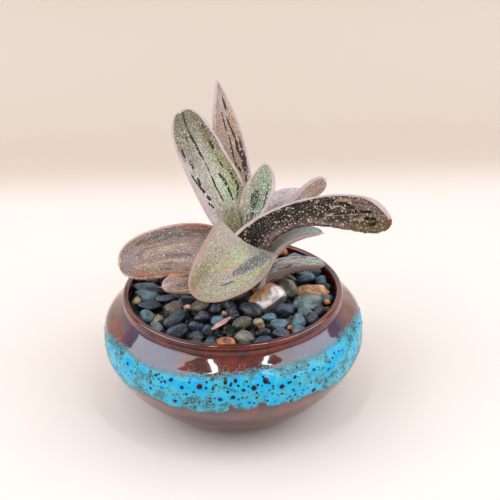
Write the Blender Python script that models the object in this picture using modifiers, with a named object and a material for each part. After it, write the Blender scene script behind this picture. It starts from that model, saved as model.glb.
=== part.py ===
"""A little warty gasteria with twelve leaves, in a round glazed bowl topped with river gravel."""
import math
import random

import bmesh
import bpy
from mathutils import Euler, Matrix, Vector

# All sizes are in millimetres and degrees. The pot stands on z = 0 around the z axis, its front is -y.
MM = 0.001
GAP = 0.3
MERGE_DISTANCE = 0.05

# Pot
FOOT_RADIUS = 35.0
FOOT_WIDTH = 6.0
FOOT_RECESS = 2.5
FOOT_SLOPE = 1.5
BELLY_RADIUS = 65.0
BELLY_HEIGHT = 36.0
NECK_RADIUS = 53.7
NECK_HEIGHT = 54.2
RIM_RADIUS = 54.0
RIM_HEIGHT = 60.0
LIP_ROUNDING = 0.9
MOUTH_RADIUS = 51.0
MOUTH_FOOT = 53.5
WALL = 4.5
INNER_BELLY = BELLY_RADIUS - WALL
FLOOR_RADIUS = 30.0
FLOOR_TOP = 6.5
DRAIN_RADIUS = 5.0
POT_STEPS = 36
CURVE_POINTS = 5
# The two points that pull each curve of the pot's wall, as radius and height
SHOULDER_PULLS = ((62.0, 46.6), (BELLY_RADIUS, 48.6))
LOWER_PULLS = ((BELLY_RADIUS, 26.5), (46.5, 3.5))
INNER_LOWER_PULLS = ((46.0, 8.5), (INNER_BELLY, 27.5))
INNER_UPPER_PULLS = ((INNER_BELLY, 45.0), (57.0, 48.0))

# Fillings
SOIL_TOP = 44.0
BED_TOP = 52.0
FILL_STEPS = 28

# Stem
STEM_PLACE = (5.5, 3.0)
STEM_RADIUS = 8.5
STEM_FOOT_RADIUS = 5.5
STEM_FOOT = 22.0
STEM_TOP = 69.0
STEM_STEPS = 20
# The stem's rounded top as parts of its radius and depths below the top
STEM_DOME = ((0.0, 0.0), (0.55, 1.2), (0.9, 4.5), (1.0, 9.0))
STEM_WAIST = 6.0
STEM_BEVEL = 2.0
STEM_END = 0.6

# Gravel: a bed of small stones, and pebbles on it. Filler pebbles come in three rounds, big ones first
GRAVEL_SEED = 11
GRAVEL_REACH = 50.3
GRAVEL_ROUNDS = ((5.6, 200), (4.6, 300), (3.8, 400))
GRAVEL_SPACING = 0.80
PEBBLE_REACH = 0.25
BRIGHT_REACH = 0.27
PEBBLE_SLIMNESS = (0.75, 1.0)
PEBBLE_FLATNESS = (0.55, 0.85)
PEBBLE_LEVEL = 53.2
PEBBLE_LEAN = 14.0
STONE_JITTER = 0.06
STONE_SIDES = 7
STONE_RINGS = 5
STONE_SQUARENESS = 0.88

# Leaves
STATIONS = 14
AROUND = 12
SPINE_STEPS = 4
FULL_ACROSS = 0.75
FULL_UP = 0.6
TIP_CROWDING = 1.5
LAST_STATION = 0.985
MUCRO = 1.1
FOOT_THICKENING = 0.35
SHEATH_FOOT = 55.0
SHEATH_LEAN = 0.55
SHEATH_WIDTH = 0.62


# Pebbles that show at the front: place, then length, width, height and turn
PEBBLES = [
    (25, -15, 8, 8, 8, 0), (30, -26, 7.5, 9, 8, 20), (37, -21, 8, 8, 7, 40), (43, -16, 5, 5, 5, 0),
    (8, -13, 12, 9, 9, 30), (4, -26, 9, 6, 6, 10), (21, -32, 8, 8, 8, -60), (13, -38, 7, 5, 5, 20),
    (39, 15, 11, 8, 6, 10), (44, 11, 7, 7, 6, 0), (45, 4, 6, 7, 6, 70), (26, 34, 13, 8, 5, 160),
    (-41, -18, 8, 8, 7.5, 0), (-41, -7, 12, 8, 4, 0), (-42, 3, 11, 7, 4.5, -5), (-47, -3, 5, 5, 4, 0),
    (-30, -11, 10, 9, 5, 0), (-27, -22, 13, 7, 7, 35), (-35, -21, 5, 5, 5, 0), (-35, -28, 6, 6, 5, 0),
    (-26, -31, 10, 7, 6, 20), (-18, -28, 8, 6, 5, 0), (-18, -37, 8, 6, 6, 30), (-12, -32, 5, 6, 7, 80),
    (-7, -24, 6, 6, 5, 0), (-5, -34, 8, 7, 7, -15), (-15, -18, 9, 8, 6, 50), (-8, -14, 6, 6, 5, 0),
    (-31, -1, 15, 8, 4, -8), (-39, 9, 9, 7, 3, 0), (-39, 15, 11, 8, 4, 5), (13, -22, 9, 7, 6, -40),
    (35, -29, 7, 6, 6, 10), (-22, -40, 7, 5, 5, 60),
]

# Pebbles of other colours: name, place, (length, width, height), turns about x, y and z, lift and colour
BRIGHT_PEBBLES = [
    ("stone_quartz", (17, -8), (16, 12, 13), (6, -8, 25), 2.0, (0.72, 0.62, 0.52)),
    ("stone_rust", (40, 0), (15, 10, 8), (4, 6, 5), 0.5, (0.62, 0.33, 0.13)),
    ("stone_striped", (28, 3), (12, 8, 9), (-8, -10, -35), 1.0, (0.32, 0.30, 0.27)),
    ("stone_green", (36, -10), (16, 9, 8), (-5, 4, 12), 0.5, (0.19, 0.24, 0.22)),
    ("stone_rust_slab", (-4, -41), (10, 5, 5), (10, -6, 5), 0.0, (0.60, 0.32, 0.14)),
    ("stone_pale", (5, -37), (9, 7, 6), (8, 5, -20), 0.0, (0.34, 0.35, 0.33)),
]


class Leaf:
    """One leaf: where its spine starts, how it heads, rises and turns on the way, and its width."""

    def __init__(self, name, foot, heading, rise, turn, length, widths, thick, blunt, hollow, colour,
                 taper=0.5):
        self.name = name
        self.foot = Vector(foot)
        self.heading = heading
        self.rise = rise
        self.turn = turn
        self.length = length
        self.widths = widths
        self.thick = thick
        self.blunt = blunt
        self.hollow = hollow
        self.colour = colour
        self.taper = taper


# From the youngest leaf in the middle to the oldest outside. Headings run from +x towards +y.
LEAVES = [
    Leaf("leaf_young", (6, 5, 67), (42, 39, 95), (90, 65, 43), (-2, -4, 0), 54,
         (10, 14.5, 19, 15), 3.6, 4.1, 0.23, (0.33, 0.42, 0.31), 0.6),
    Leaf("leaf_bud", (1, 6, 68), (90, 90, 90), (84, 80, 76), (0, 0, 0), 30,
         (8, 9, 9, 7), 2.6, 4.0, 0.25, (0.30, 0.27, 0.17), 0.6),
    Leaf("leaf_right", (4, -5.5, 69), (19, -25, -68), (84, 19, 18), (75, 39, 108), 95,
         (24, 14, 15.5, 20.5), 4.4, 7.2, 0.12, (0.09, 0.07, 0.05)),
    Leaf("leaf_back_left", (5, 10, 66), (141, 131, 120), (93, 50, 53), (-10, -33, -37), 85.5,
         (9.5, 22.5, 23, 26), 4.6, 6.1, 0.15, (0.36, 0.38, 0.27)),
    Leaf("leaf_front", (5, -7, 66), (-68, -106, -138), (98, 14, -10), (21, -43, -67), 77,
         (29, 29, 32, 28), 5.0, 4.8, 0.09, (0.38, 0.38, 0.24)),
    Leaf("leaf_tall", (7, 13, 64), (99, 106, 109), (60, 62, 60), (0, 3, 1), 95.5,
         (13, 17, 17.5, 12), 4.4, 5.8, 0.15, (0.30, 0.24, 0.22), 0.9),
    Leaf("leaf_spoon", (10, 9, 62), (48, 31, 16), (74, 37, 30), (60, 83, 86), 62,
         (10, 11.5, 7, 18), 4.0, 5.2, 0.14, (0.40, 0.32, 0.31)),
    Leaf("leaf_back_right", (9, 10, 63), (67, 45, 21), (60, 24, -6), (22, 20, 18), 60,
         (15, 20, 22.5, 20), 4.8, 5.0, 0.16, (0.35, 0.29, 0.28)),
    Leaf("leaf_left", (2, 7, 64.5), (166, 177, 186), (48, -5, -6), (-30, -37, -50), 62,
         (23, 29, 27.5, 28), 5.2, 5.7, 0.18, (0.42, 0.34, 0.31)),
    Leaf("leaf_right_lower", (11, -1, 60), (14, -17, -14), (68, 48, -2), (36, 17, 14), 48,
         (11.5, 13.5, 12.5, 10.5), 3.8, 3.0, 0.28, (0.38, 0.36, 0.37)),
    Leaf("leaf_low_right", (9, 0, 57.5), (25, 8, 2), (38, 11, -5), (0, -5, 10), 40,
         (12, 15, 13, 10), 5.0, 4.9, 0.22, (0.20, 0.21, 0.19)),
    Leaf("leaf_low_left", (1, 0, 57), (-167, -166, -164), (27, 11, 0), (-5, -9, -24), 37,
         (12, 15, 15, 15.5), 5.0, 4.4, 0.15, (0.48, 0.34, 0.33)),
]


def colour_material(name, colour, roughness):
    """A plain coloured finish."""
    finish = bpy.data.materials.new(name)
    finish.use_nodes = True
    shader = finish.node_tree.nodes["Principled BSDF"]
    shader.inputs["Base Color"].default_value = (*colour, 1.0)
    shader.inputs["Roughness"].default_value = roughness
    shader.inputs["Metallic"].default_value = 0.0
    finish.diffuse_color = (*colour, 1.0)
    return finish


def bezier(start, pull_a, pull_b, end, count):
    """Points along a cubic curve in the radius and height plane."""
    points = []
    for step in range(count + 1):
        t = step / count
        u = 1.0 - t
        weights = (u ** 3, 3 * u * u * t, 3 * u * t * t, t ** 3)
        corners = (start, pull_a, pull_b, end)
        radius = sum(w * c[0] for w, c in zip(weights, corners))
        height = sum(w * c[1] for w, c in zip(weights, corners))
        points.append((radius, height))
    return points


def mesh_object(name, vertices, faces, finish, collection):
    """An object from points in millimetres."""
    mesh = bpy.data.meshes.new(name)
    mesh.from_pydata([Vector(v) * MM for v in vertices], [], faces)
    mesh.validate()
    mesh.update()
    mesh.materials.append(finish)
    piece = bpy.data.objects.new(name, mesh)
    collection.objects.link(piece)
    return piece


def turned(name, profile, closed, steps, finish, collection):
    """A profile of radius and height turned around the z axis."""
    vertices = [(radius, 0.0, height) for radius, height in profile]
    edges = [(i, i + 1) for i in range(len(profile) - 1)]
    if closed:
        edges.append((len(profile) - 1, 0))
    mesh = bpy.data.meshes.new(name)
    mesh.from_pydata([Vector(v) * MM for v in vertices], edges, [])
    mesh.materials.append(finish)
    piece = bpy.data.objects.new(name, mesh)
    collection.objects.link(piece)
    screw = piece.modifiers.new("turn", "SCREW")
    screw.axis = "Z"
    screw.steps = steps
    screw.render_steps = steps
    screw.use_merge_vertices = True
    screw.merge_threshold = MERGE_DISTANCE * MM
    screw.use_smooth_shade = True
    return piece


def baked(piece):
    """The same object with its modifiers turned into plain faces."""
    graph = bpy.context.evaluated_depsgraph_get()
    mesh = bpy.data.meshes.new_from_object(piece.evaluated_get(graph))
    piece.modifiers.clear()
    piece.data = mesh
    return piece


def grown_copy(piece, cutters):
    """A copy that is bigger by the gap on every side, for cutting clearance."""
    copy = piece.copy()
    copy.data = piece.data.copy()
    copy.name = "clear_" + piece.name
    copy.modifiers.clear()
    swell = copy.modifiers.new("gap", "DISPLACE")
    swell.strength = GAP * MM
    swell.mid_level = 0.0
    cutters.objects.link(copy)
    return copy


def cut(piece, cutter, solver="MANIFOLD"):
    """Takes the cutter's shape out of the piece. Leaves that brush past each other need MANIFOLD."""
    modifier = piece.modifiers.new("cut", "BOOLEAN")
    modifier.operation = "DIFFERENCE"
    modifier.object = cutter
    modifier.solver = solver


def outer_pot_curve():
    """The pot's outer side from the neck down to its foot."""
    belly = (BELLY_RADIUS, BELLY_HEIGHT)
    shoulder = bezier((NECK_RADIUS, NECK_HEIGHT), *SHOULDER_PULLS, belly, CURVE_POINTS)
    lower = bezier(belly, *LOWER_PULLS, (FOOT_RADIUS, 0.0), CURVE_POINTS)
    return shoulder + lower[1:]


def inner_pot_curve():
    """The pot's inner side from the floor up to the mouth."""
    belly = (INNER_BELLY, BELLY_HEIGHT)
    lower = bezier((FLOOR_RADIUS, FLOOR_TOP), *INNER_LOWER_PULLS, belly, CURVE_POINTS)
    upper = bezier(belly, *INNER_UPPER_PULLS, (MOUTH_RADIUS, MOUTH_FOOT), CURVE_POINTS)
    return lower + upper[1:]


def inner_radius(height):
    """The pot's inner radius at a height above its floor."""
    curve = inner_pot_curve()
    for (low_r, low_z), (high_r, high_z) in zip(curve, curve[1:]):
        if low_z <= height <= high_z:
            return low_r + (high_r - low_r) * (height - low_z) / (high_z - low_z)
    return MOUTH_RADIUS


def make_pot(parts):
    """A round bowl with a short collar, a foot ring and a drain hole."""
    foot_inner = FOOT_RADIUS - FOOT_WIDTH
    lip_side = RIM_HEIGHT - LIP_ROUNDING
    profile = [(MOUTH_RADIUS + LIP_ROUNDING, RIM_HEIGHT), (RIM_RADIUS - LIP_ROUNDING, RIM_HEIGHT)]
    profile += [(RIM_RADIUS, lip_side)] + outer_pot_curve()
    profile += [(foot_inner, 0.0), (foot_inner - FOOT_SLOPE, FOOT_RECESS)]
    profile += [(DRAIN_RADIUS, FOOT_RECESS), (DRAIN_RADIUS, FLOOR_TOP)]
    profile += inner_pot_curve() + [(MOUTH_RADIUS, lip_side)]
    glaze = colour_material("oxblood_glaze", (0.13, 0.035, 0.025), 0.18)
    return baked(turned("pot", profile, True, POT_STEPS, glaze, parts))


def fill_profile(low, high):
    """The outline of a filling that lies a gap's width inside the pot, between two heights."""
    edge = [(inner_radius(low) - GAP, low)]
    for radius, height in inner_pot_curve():
        if low < height < high:
            edge.append((radius - GAP, height))
    edge.append((inner_radius(high) - GAP, high))
    return [(0.0, high)] + edge[::-1] + [(0.0, low)]


def make_soil(parts):
    """The potting mix that fills the bowl under the gravel."""
    mix = colour_material("potting_mix", (0.06, 0.045, 0.035), 0.95)
    return baked(turned("potting_mix", fill_profile(FLOOR_TOP + GAP, SOIL_TOP), False, FILL_STEPS, mix, parts))


def make_stem(parts):
    """The short stem: its lower end is buried, its top carries the leaves."""
    skin = colour_material("stem_bark", (0.25, 0.20, 0.12), 0.7)
    profile = [(part * STEM_RADIUS, STEM_TOP - depth) for part, depth in STEM_DOME]
    profile += [(STEM_RADIUS, SOIL_TOP + STEM_WAIST), (STEM_FOOT_RADIUS, STEM_FOOT + STEM_BEVEL)]
    profile += [(STEM_END * STEM_FOOT_RADIUS, STEM_FOOT), (0.0, STEM_FOOT)]
    stem = baked(turned("stem", profile, False, STEM_STEPS, skin, parts))
    stem.data.transform(Matrix.Translation(Vector((*STEM_PLACE, 0.0)) * MM))
    return stem


def through(values, s):
    """A smooth value at s between 0 and 1 through evenly spaced values."""
    if len(values) == 3:
        foot, middle, tip = values
        return foot * (2 * s - 1) * (s - 1) + 4 * middle * s * (1 - s) + tip * s * (2 * s - 1)
    reach = len(values) - 1
    index = min(int(s * reach), reach - 1)
    part = s * reach - index
    line = [2 * values[0] - values[1], *values, 2 * values[-1] - values[-2]]
    a, b, c, d = line[index:index + 4]
    return 0.5 * (2 * b + (c - a) * part + (2 * a - 5 * b + 4 * c - d) * part ** 2
                  + (3 * b - a - 3 * c + d) * part ** 3)


def leaf_frame(leaf, s):
    """Directions at s along the leaf: ahead, across and up out of the upper face."""
    heading = math.radians(through(leaf.heading, s))
    rise = math.radians(through(leaf.rise, s))
    turn = math.radians(through(leaf.turn, s))
    ahead = Vector((math.cos(rise) * math.cos(heading), math.cos(rise) * math.sin(heading), math.sin(rise)))
    level = Vector((-math.sin(heading), math.cos(heading), 0.0))
    up = ahead.cross(level)
    across = level * math.cos(turn) + up * math.sin(turn)
    return ahead, across, ahead.cross(across)


def leaf_section(leaf, s, wide=1.0):
    """The section's points as distances across and up: flat faces, thick round margins, a hollow."""
    half_width = 0.5 * wide * through(leaf.widths, s) * (1 - s ** leaf.blunt) ** leaf.taper
    thick = leaf.thick * (1 + FOOT_THICKENING * (1 - s) ** 2) * (1 - s ** (2 * leaf.blunt)) ** 0.5
    points = []
    for corner in range(AROUND):
        angle = 2 * math.pi * (corner + 0.5) / AROUND
        x = math.copysign(abs(math.cos(angle)) ** FULL_ACROSS, math.cos(angle))
        y = math.copysign(abs(math.sin(angle)) ** FULL_UP, math.sin(angle))
        points.append((x * half_width, 0.5 * thick * y + leaf.hollow * half_width * x * x))
    return points


def sheath_ring(leaf):
    """The lowest section: the leaf's foot drawn in to the stem, down among the pebbles."""
    ahead, across, up = leaf_frame(leaf, 0.0)
    centre = leaf.foot.lerp(Vector((*STEM_PLACE, 0.0)), SHEATH_LEAN)
    centre.z = SHEATH_FOOT
    return [centre + across * x + up * y for x, y in leaf_section(leaf, 0.0, SHEATH_WIDTH)]


def make_leaf(leaf, parts):
    """A leaf lofted along its spine, with a sheathing foot and a small pointed tip."""
    places = [LAST_STATION * (1 - (1 - i / STATIONS) ** TIP_CROWDING) for i in range(STATIONS + 1)]
    centre = leaf.foot.copy()
    vertices = sheath_ring(leaf)
    for index, s in enumerate(places):
        if index:
            before = places[index - 1]
            for part in range(SPINE_STEPS):
                middle = before + (s - before) * (part + 0.5) / SPINE_STEPS
                centre += leaf_frame(leaf, middle)[0] * (leaf.length * (s - before) / SPINE_STEPS)
        ahead, across, up = leaf_frame(leaf, s)
        for x, y in leaf_section(leaf, s):
            vertices.append(centre + across * x + up * y)
    vertices.append(centre + ahead * (leaf.length * (1 - LAST_STATION) + MUCRO))
    faces = [list(range(AROUND))[::-1]]
    for ring in range(STATIONS + 1):
        for corner in range(AROUND):
            a = ring * AROUND + corner
            b = ring * AROUND + (corner + 1) % AROUND
            faces.append((a, b, b + AROUND))
            faces.append((a, b + AROUND, a + AROUND))
    last = (STATIONS + 1) * AROUND
    for corner in range(AROUND):
        faces.append((last + corner, last + (corner + 1) % AROUND, len(vertices) - 1))
    skin = colour_material("skin_" + leaf.name, leaf.colour, 0.5)
    return mesh_object(leaf.name, vertices, faces, skin, parts)


def make_stone(name, place, size, turns, finish, skin_chance, collection):
    """A worn pebble: a slightly squared ball with an uneven skin, stretched, turned and placed."""
    shape = bmesh.new()
    bmesh.ops.create_uvsphere(shape, u_segments=STONE_SIDES, v_segments=STONE_RINGS, radius=1.0)
    bmesh.ops.triangulate(shape, faces=shape.faces)
    for vertex in shape.verts:
        uneven = 1 + skin_chance.uniform(-STONE_JITTER, STONE_JITTER)
        for axis in range(3):
            value = vertex.co[axis]
            vertex.co[axis] = math.copysign(abs(value) ** STONE_SQUARENESS, value) * uneven
    turned_to = Euler([math.radians(turn) for turn in turns]).to_matrix().to_4x4()
    stretch = Matrix.Diagonal((0.5 * size[0], 0.5 * size[1], 0.5 * size[2], 1.0))
    shape.transform(Matrix.Translation(Vector(place)) @ turned_to @ stretch)
    points = [vertex.co.copy() for vertex in shape.verts]
    faces = [[vertex.index for vertex in face.verts] for face in shape.faces]
    shape.free()
    return mesh_object(name, points, faces, finish, collection)


def pebble_turns(chance, turn):
    """A pebble's turns about x, y and z: it leans a little to some side."""
    return chance.uniform(-PEBBLE_LEAN, PEBBLE_LEAN), chance.uniform(-PEBBLE_LEAN, PEBBLE_LEAN), turn


def pebble_places(chance):
    """The pebbles to lay, as place, size and turns: those that show at the front, then filler."""
    placed = []
    for x, y, long, wide, high, turn in PEBBLES:
        placed.append(((x, y, PEBBLE_LEVEL), (long, wide, high), pebble_turns(chance, turn)))
    taken = [(x, y, PEBBLE_REACH * (long + wide)) for x, y, long, wide, high, turn in PEBBLES]
    for name, (x, y), size, turns, lift, colour in BRIGHT_PEBBLES:
        taken.append((x, y, BRIGHT_REACH * (size[0] + size[1])))
    for radius, tries in GRAVEL_ROUNDS:
        for _ in range(tries):
            reach = (GRAVEL_REACH - radius) * math.sqrt(chance.random())
            angle = chance.uniform(0, 2 * math.pi)
            x, y = reach * math.cos(angle), reach * math.sin(angle)
            near = any(math.hypot(x - a, y - b) < GRAVEL_SPACING * (radius + r) for a, b, r in taken)
            if near:
                continue
            taken.append((x, y, radius))
            slim = chance.uniform(*PEBBLE_SLIMNESS)
            size = (2 * radius / slim, 2 * radius * slim, 2 * radius * chance.uniform(*PEBBLE_FLATNESS))
            turns = pebble_turns(chance, chance.uniform(0, 180))
            placed.append(((x, y, PEBBLE_LEVEL), size, turns))
    return placed


def make_gravel(parts):
    """The dark gravel: a bed of small stones and the pebbles sunk into it, as one body."""
    slate = colour_material("slate_gravel", (0.035, 0.05, 0.065), 0.45)
    bed = baked(turned("gravel", fill_profile(SOIL_TOP + GAP, BED_TOP), False, FILL_STEPS, slate, parts))
    skin_chance = random.Random(GRAVEL_SEED + 1)
    loose = bpy.data.collections.new("loose_pebbles")
    bpy.context.scene.collection.children.link(loose)
    for place, size, turns in pebble_places(random.Random(GRAVEL_SEED)):
        make_stone("pebble", place, size, turns, slate, skin_chance, loose)
    join = bed.modifiers.new("join", "BOOLEAN")
    join.operation = "UNION"
    join.operand_type = "COLLECTION"
    join.collection = loose
    join.solver = "MANIFOLD"
    baked(bed)
    for pebble in list(loose.objects):
        bpy.data.objects.remove(pebble, do_unlink=True)
    bpy.data.collections.remove(loose)
    return bed


def make_bright_pebbles(parts):
    """The pebbles of other colours, which lie in sockets of the gravel."""
    skin_chance = random.Random(GRAVEL_SEED + 2)
    pebbles = []
    for name, (x, y), size, turns, lift, colour in BRIGHT_PEBBLES:
        place = (x, y, PEBBLE_LEVEL + lift)
        finish = colour_material(name, colour, 0.5)
        pebbles.append(make_stone(name, place, size, turns, finish, skin_chance, parts))
    return pebbles


def keep_largest_body(piece):
    """Bakes a cut piece and drops the loose scraps that its cuts left."""
    baked(piece)
    shape = bmesh.new()
    shape.from_mesh(piece.data)
    unseen = set(shape.verts)
    bodies = []
    while unseen:
        edge_of_body = [unseen.pop()]
        body = set(edge_of_body)
        while edge_of_body:
            vertex = edge_of_body.pop()
            for edge in vertex.link_edges:
                other = edge.other_vert(vertex)
                if other in unseen:
                    unseen.remove(other)
                    body.add(other)
                    edge_of_body.append(other)
        bodies.append(body)
    bodies.sort(key=len)
    for body in bodies[:-1]:
        bmesh.ops.delete(shape, geom=list(body), context="VERTS")
    shape.to_mesh(piece.data)
    shape.free()


def clear():
    """Empties the scene."""
    for item in list(bpy.data.objects):
        bpy.data.objects.remove(item, do_unlink=True)


def main():
    clear()
    parts = bpy.data.collections.new("potted_gasteria")
    cutters = bpy.data.collections.new("cutters")
    bpy.context.scene.collection.children.link(parts)
    bpy.context.scene.collection.children.link(cutters)
    make_pot(parts)
    soil = make_soil(parts)
    stem = make_stem(parts)
    inner = [grown_copy(stem, cutters)]
    cut(soil, inner[0], "EXACT")
    baked(soil)
    for leaf in LEAVES:
        piece = make_leaf(leaf, parts)
        grown = grown_copy(piece, cutters)
        for cutter in inner:
            cut(piece, cutter)
        keep_largest_body(piece)
        inner.append(grown)
    for piece in make_bright_pebbles(parts):
        grown = grown_copy(piece, cutters)
        for cutter in inner:
            cut(piece, cutter)
        keep_largest_body(piece)
        inner.append(grown)
    gravel = make_gravel(parts)
    for cutter in inner:
        cut(gravel, cutter)
    keep_largest_body(gravel)
    for item in cutters.objects:
        item.hide_render = True
        item.display_type = "WIRE"


main()
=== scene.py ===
"""The looks of a little warty gasteria in its glazed bowl, with river pebbles on the soil."""

import math
import random
from types import SimpleNamespace

import bpy
import numpy as np
from mathutils import Euler, Matrix, Vector


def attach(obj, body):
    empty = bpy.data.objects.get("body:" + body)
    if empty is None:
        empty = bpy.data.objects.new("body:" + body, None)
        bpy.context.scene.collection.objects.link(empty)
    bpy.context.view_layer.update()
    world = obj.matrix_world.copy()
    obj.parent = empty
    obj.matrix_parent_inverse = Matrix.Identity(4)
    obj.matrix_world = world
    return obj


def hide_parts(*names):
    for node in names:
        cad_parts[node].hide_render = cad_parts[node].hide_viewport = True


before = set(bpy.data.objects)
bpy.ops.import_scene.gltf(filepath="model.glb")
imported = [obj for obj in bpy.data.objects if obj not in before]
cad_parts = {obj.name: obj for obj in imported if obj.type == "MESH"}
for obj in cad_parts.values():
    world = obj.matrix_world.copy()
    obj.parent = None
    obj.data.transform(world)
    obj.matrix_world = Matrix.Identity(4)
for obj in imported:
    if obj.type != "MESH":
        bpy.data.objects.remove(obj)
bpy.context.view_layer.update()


# The bowl
# One piece of stoneware, thrown and turned on a wheel, with a rolled lip and a cut foot ring. It is dipped in
# an oxblood glaze, and a band of turquoise crystal glaze is poured on its shoulder, which bubbled and ran.
MM = 0.001
MOUTH_RADIUS = 51.0
LIP_RADIUS = 1.5
LIP_HEIGHT = 58.5
NECK = (53.7, 54.2)
BELLY = (65.0, 36.0)
FOOT_RADIUS = 35.0
FOOT_INNER = 29.0
FOOT_RECESS = 2.5
DRAIN_RADIUS = 5.0
FLOOR_TOP = 6.5
INNER_BELLY = 60.5
BOWL_STEPS = 720
BOWL_SEED = 4
LIP_POINTS = 16
NECK_POINTS = 6
SHOULDER_POINTS = 36
LOWER_POINTS = 34
THROWING_PITCH = 2.6
THROWING_DEPTH = 0.012
BAND_TOP = 49.8
BAND_FOOT = 37.4
BAND_RAISE = 0.22
PIT_DEPTH = 0.25
HIDDEN_PITS = 80
# Where the band ran down: angle from the front, half width in degrees, depth in millimetres
RUNS = [
    (-84, 7, 3.5), (-71, 7, 4.0), (-61, 7, 7.5), (-53, 7, 9.5), (-42, 7, 4.8), (-34, 7, 3.6), (-25, 6.5, 5.2),
    (-14, 7.5, 5.0), (-6.3, 3.8, 4.9), (3.8, 5.2, 2.8), (16, 5, 3.0), (24, 5.5, 3.6), (31, 5, 2.8),
    (40, 7, 5.0), (51, 8, 9.0), (62, 7, 4.6), (72, 6, 2.2), (83, 8, 4.5),
]
# Burst bubbles in the band: angle from the front, height, pit radius, radius of the azure bloom round it
PITS = [
    (-66, 42, 0.6, 3.8), (-57, 38, 0.6, 4.2), (-50, 39.5, 0.5, 2.4), (-49, 44.5, 0.8, 4.4),
        (-46, 41.5, 0.5, 3.6),
    (-40, 47.5, 0.3, 3.5), (-35, 39, 0.8, 2.6), (-33, 46, 0.8, 2.2), (-30, 46, 0.4, 1.2), (-30, 44, 0.6, 1.6),
    (-29, 41.5, 0.5, 2.2), (-28, 35, 0.4, 2.0), (-26, 46, 1.0, 4.2), (-24, 36.5, 1.1, 3.6),
        (-21, 44, 0.9, 3.8),
    (-19, 41.5, 0.6, 2.4), (-18, 47.5, 0.4, 3.0), (-14, 45.5, 1.3, 6.0), (-9, 48.5, 0.8, 1.2),
        (-6, 40.5, 1.0, 3.6),
    (-4, 47.5, 0.9, 1.5), (-3, 44, 0.7, 1.6), (-2, 46.5, 0.6, 1.0), (-1, 41.5, 1.0, 3.4), (0, 48, 0.9, 4.0),
    (1, 40.5, 0.5, 2.0), (3, 44.5, 0.8, 2.2), (5, 46, 0.5, 1.6), (5, 38.5, 0.7, 3.4), (7, 45, 1.2, 2.8),
    (10, 43, 0.5, 1.8), (11, 39, 0.5, 3.2), (12, 47, 1.3, 5.6), (14, 41.5, 0.5, 2.0), (15, 37, 0.5, 3.8),
    (18, 43.5, 1.2, 4.0), (20, 37, 0.5, 2.4), (21, 44.5, 0.7, 3.1), (23, 40, 0.6, 3.2), (24, 46, 0.8, 1.8),
    (27, 39, 0.5, 3.4), (32, 36.5, 1.1, 3.4), (33, 46, 0.8, 2.6), (40, 43, 0.7, 3.8), (43, 43, 0.5, 3.2),
    (46, 47.5, 0.6, 4.6), (51, 46.5, 0.5, 3.0), (60, 42, 0.5, 4.4), (74, 46, 0.6, 3.8),
]
# Healed bubbles above the band, which left a pale brown ring: angle from the front, height, radius
RINGS = [(-60, 49, 1.2), (-19, 50.8, 1.2), (-4, 51.0, 1.3), (3, 51.6, 1.1), (8, 50.6, 1.0), (33, 49.8, 1.2)]


def ease(value, low, high):
    """0 below low, 1 above high and a smooth step between: 3t^2 - 2t^3."""
    t = np.clip((value - low) / (high - low), 0, 1)
    return t * t * (3 - 2 * t)


def bend(start, pull_a, pull_b, end, count):
    """Points on a cubic curve, its end left out: the start, two pulls and the end weighted by (1-t)^3,
    3t(1-t)^2, 3t^2(1-t) and t^3."""
    t = np.linspace(0, 1, count, endpoint=False)[:, None]
    u = 1 - t
    corners = [np.array(corner, float) for corner in (start, pull_a, pull_b, end)]
    return (u ** 3 * corners[0] + 3 * u * u * t * corners[1]
            + 3 * u * t * t * corners[2] + t ** 3 * corners[3])


def cloud(chance, x, y, closes=0):
    """Soft random heights from -1 to 1: random values at the corners of a unit net, eased between them.
    x and y are 0 or more. With closes, the net repeats along y after that many steps."""
    corners = chance.uniform(-1, 1, (int(x.max()) + 2, closes or int(y.max()) + 2))
    i = x.astype(int)
    j = y.astype(int)
    a = ease(x - i, 0, 1)
    b = ease(y - j, 0, 1)
    left = j % corners.shape[1]
    right = (j + 1) % corners.shape[1]
    near = corners[i, left] * (1 - b) + corners[i, right] * b
    far = corners[i + 1, left] * (1 - b) + corners[i + 1, right] * b
    return near * (1 - a) + far * a


def bumps(chance, x, y, share=1.0, small=0.25, large=0.5):
    """Round bumps on a unit net: one at a random place in each square, in a share of the squares.
    A point's value is 1 - (distance / radius)^2 for the nearest bump, 0 outside it. x and y are 0 or more."""
    shape = (int(x.max()) + 3, int(y.max()) + 3)
    middle = chance.random((2, *shape))
    radius = chance.uniform(small, large, shape) * (chance.random(shape) < share) + 1e-6
    height = np.zeros(x.shape)
    for step in [(a, b) for a in (0, 1, 2) for b in (0, 1, 2)]:
        i = x.astype(int) + step[0]
        j = y.astype(int) + step[1]
        across = x - (i - 1) - middle[0, i, j]
        along = y - (j - 1) - middle[1, i, j]
        height = np.maximum(height, 1 - (across ** 2 + along ** 2) / radius[i, j] ** 2)
    return height


def closed_rings(rings, around):
    """Faces of rings of points joined to the next ring, the last one to the first."""
    row, column = np.meshgrid(np.arange(rings), np.arange(around), indexing="ij")
    below = (row + 1) % rings
    right = (column + 1) % around
    return np.stack([row * around + column, row * around + right, below * around + right,
                     below * around + column], -1).reshape(-1, 4)


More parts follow.
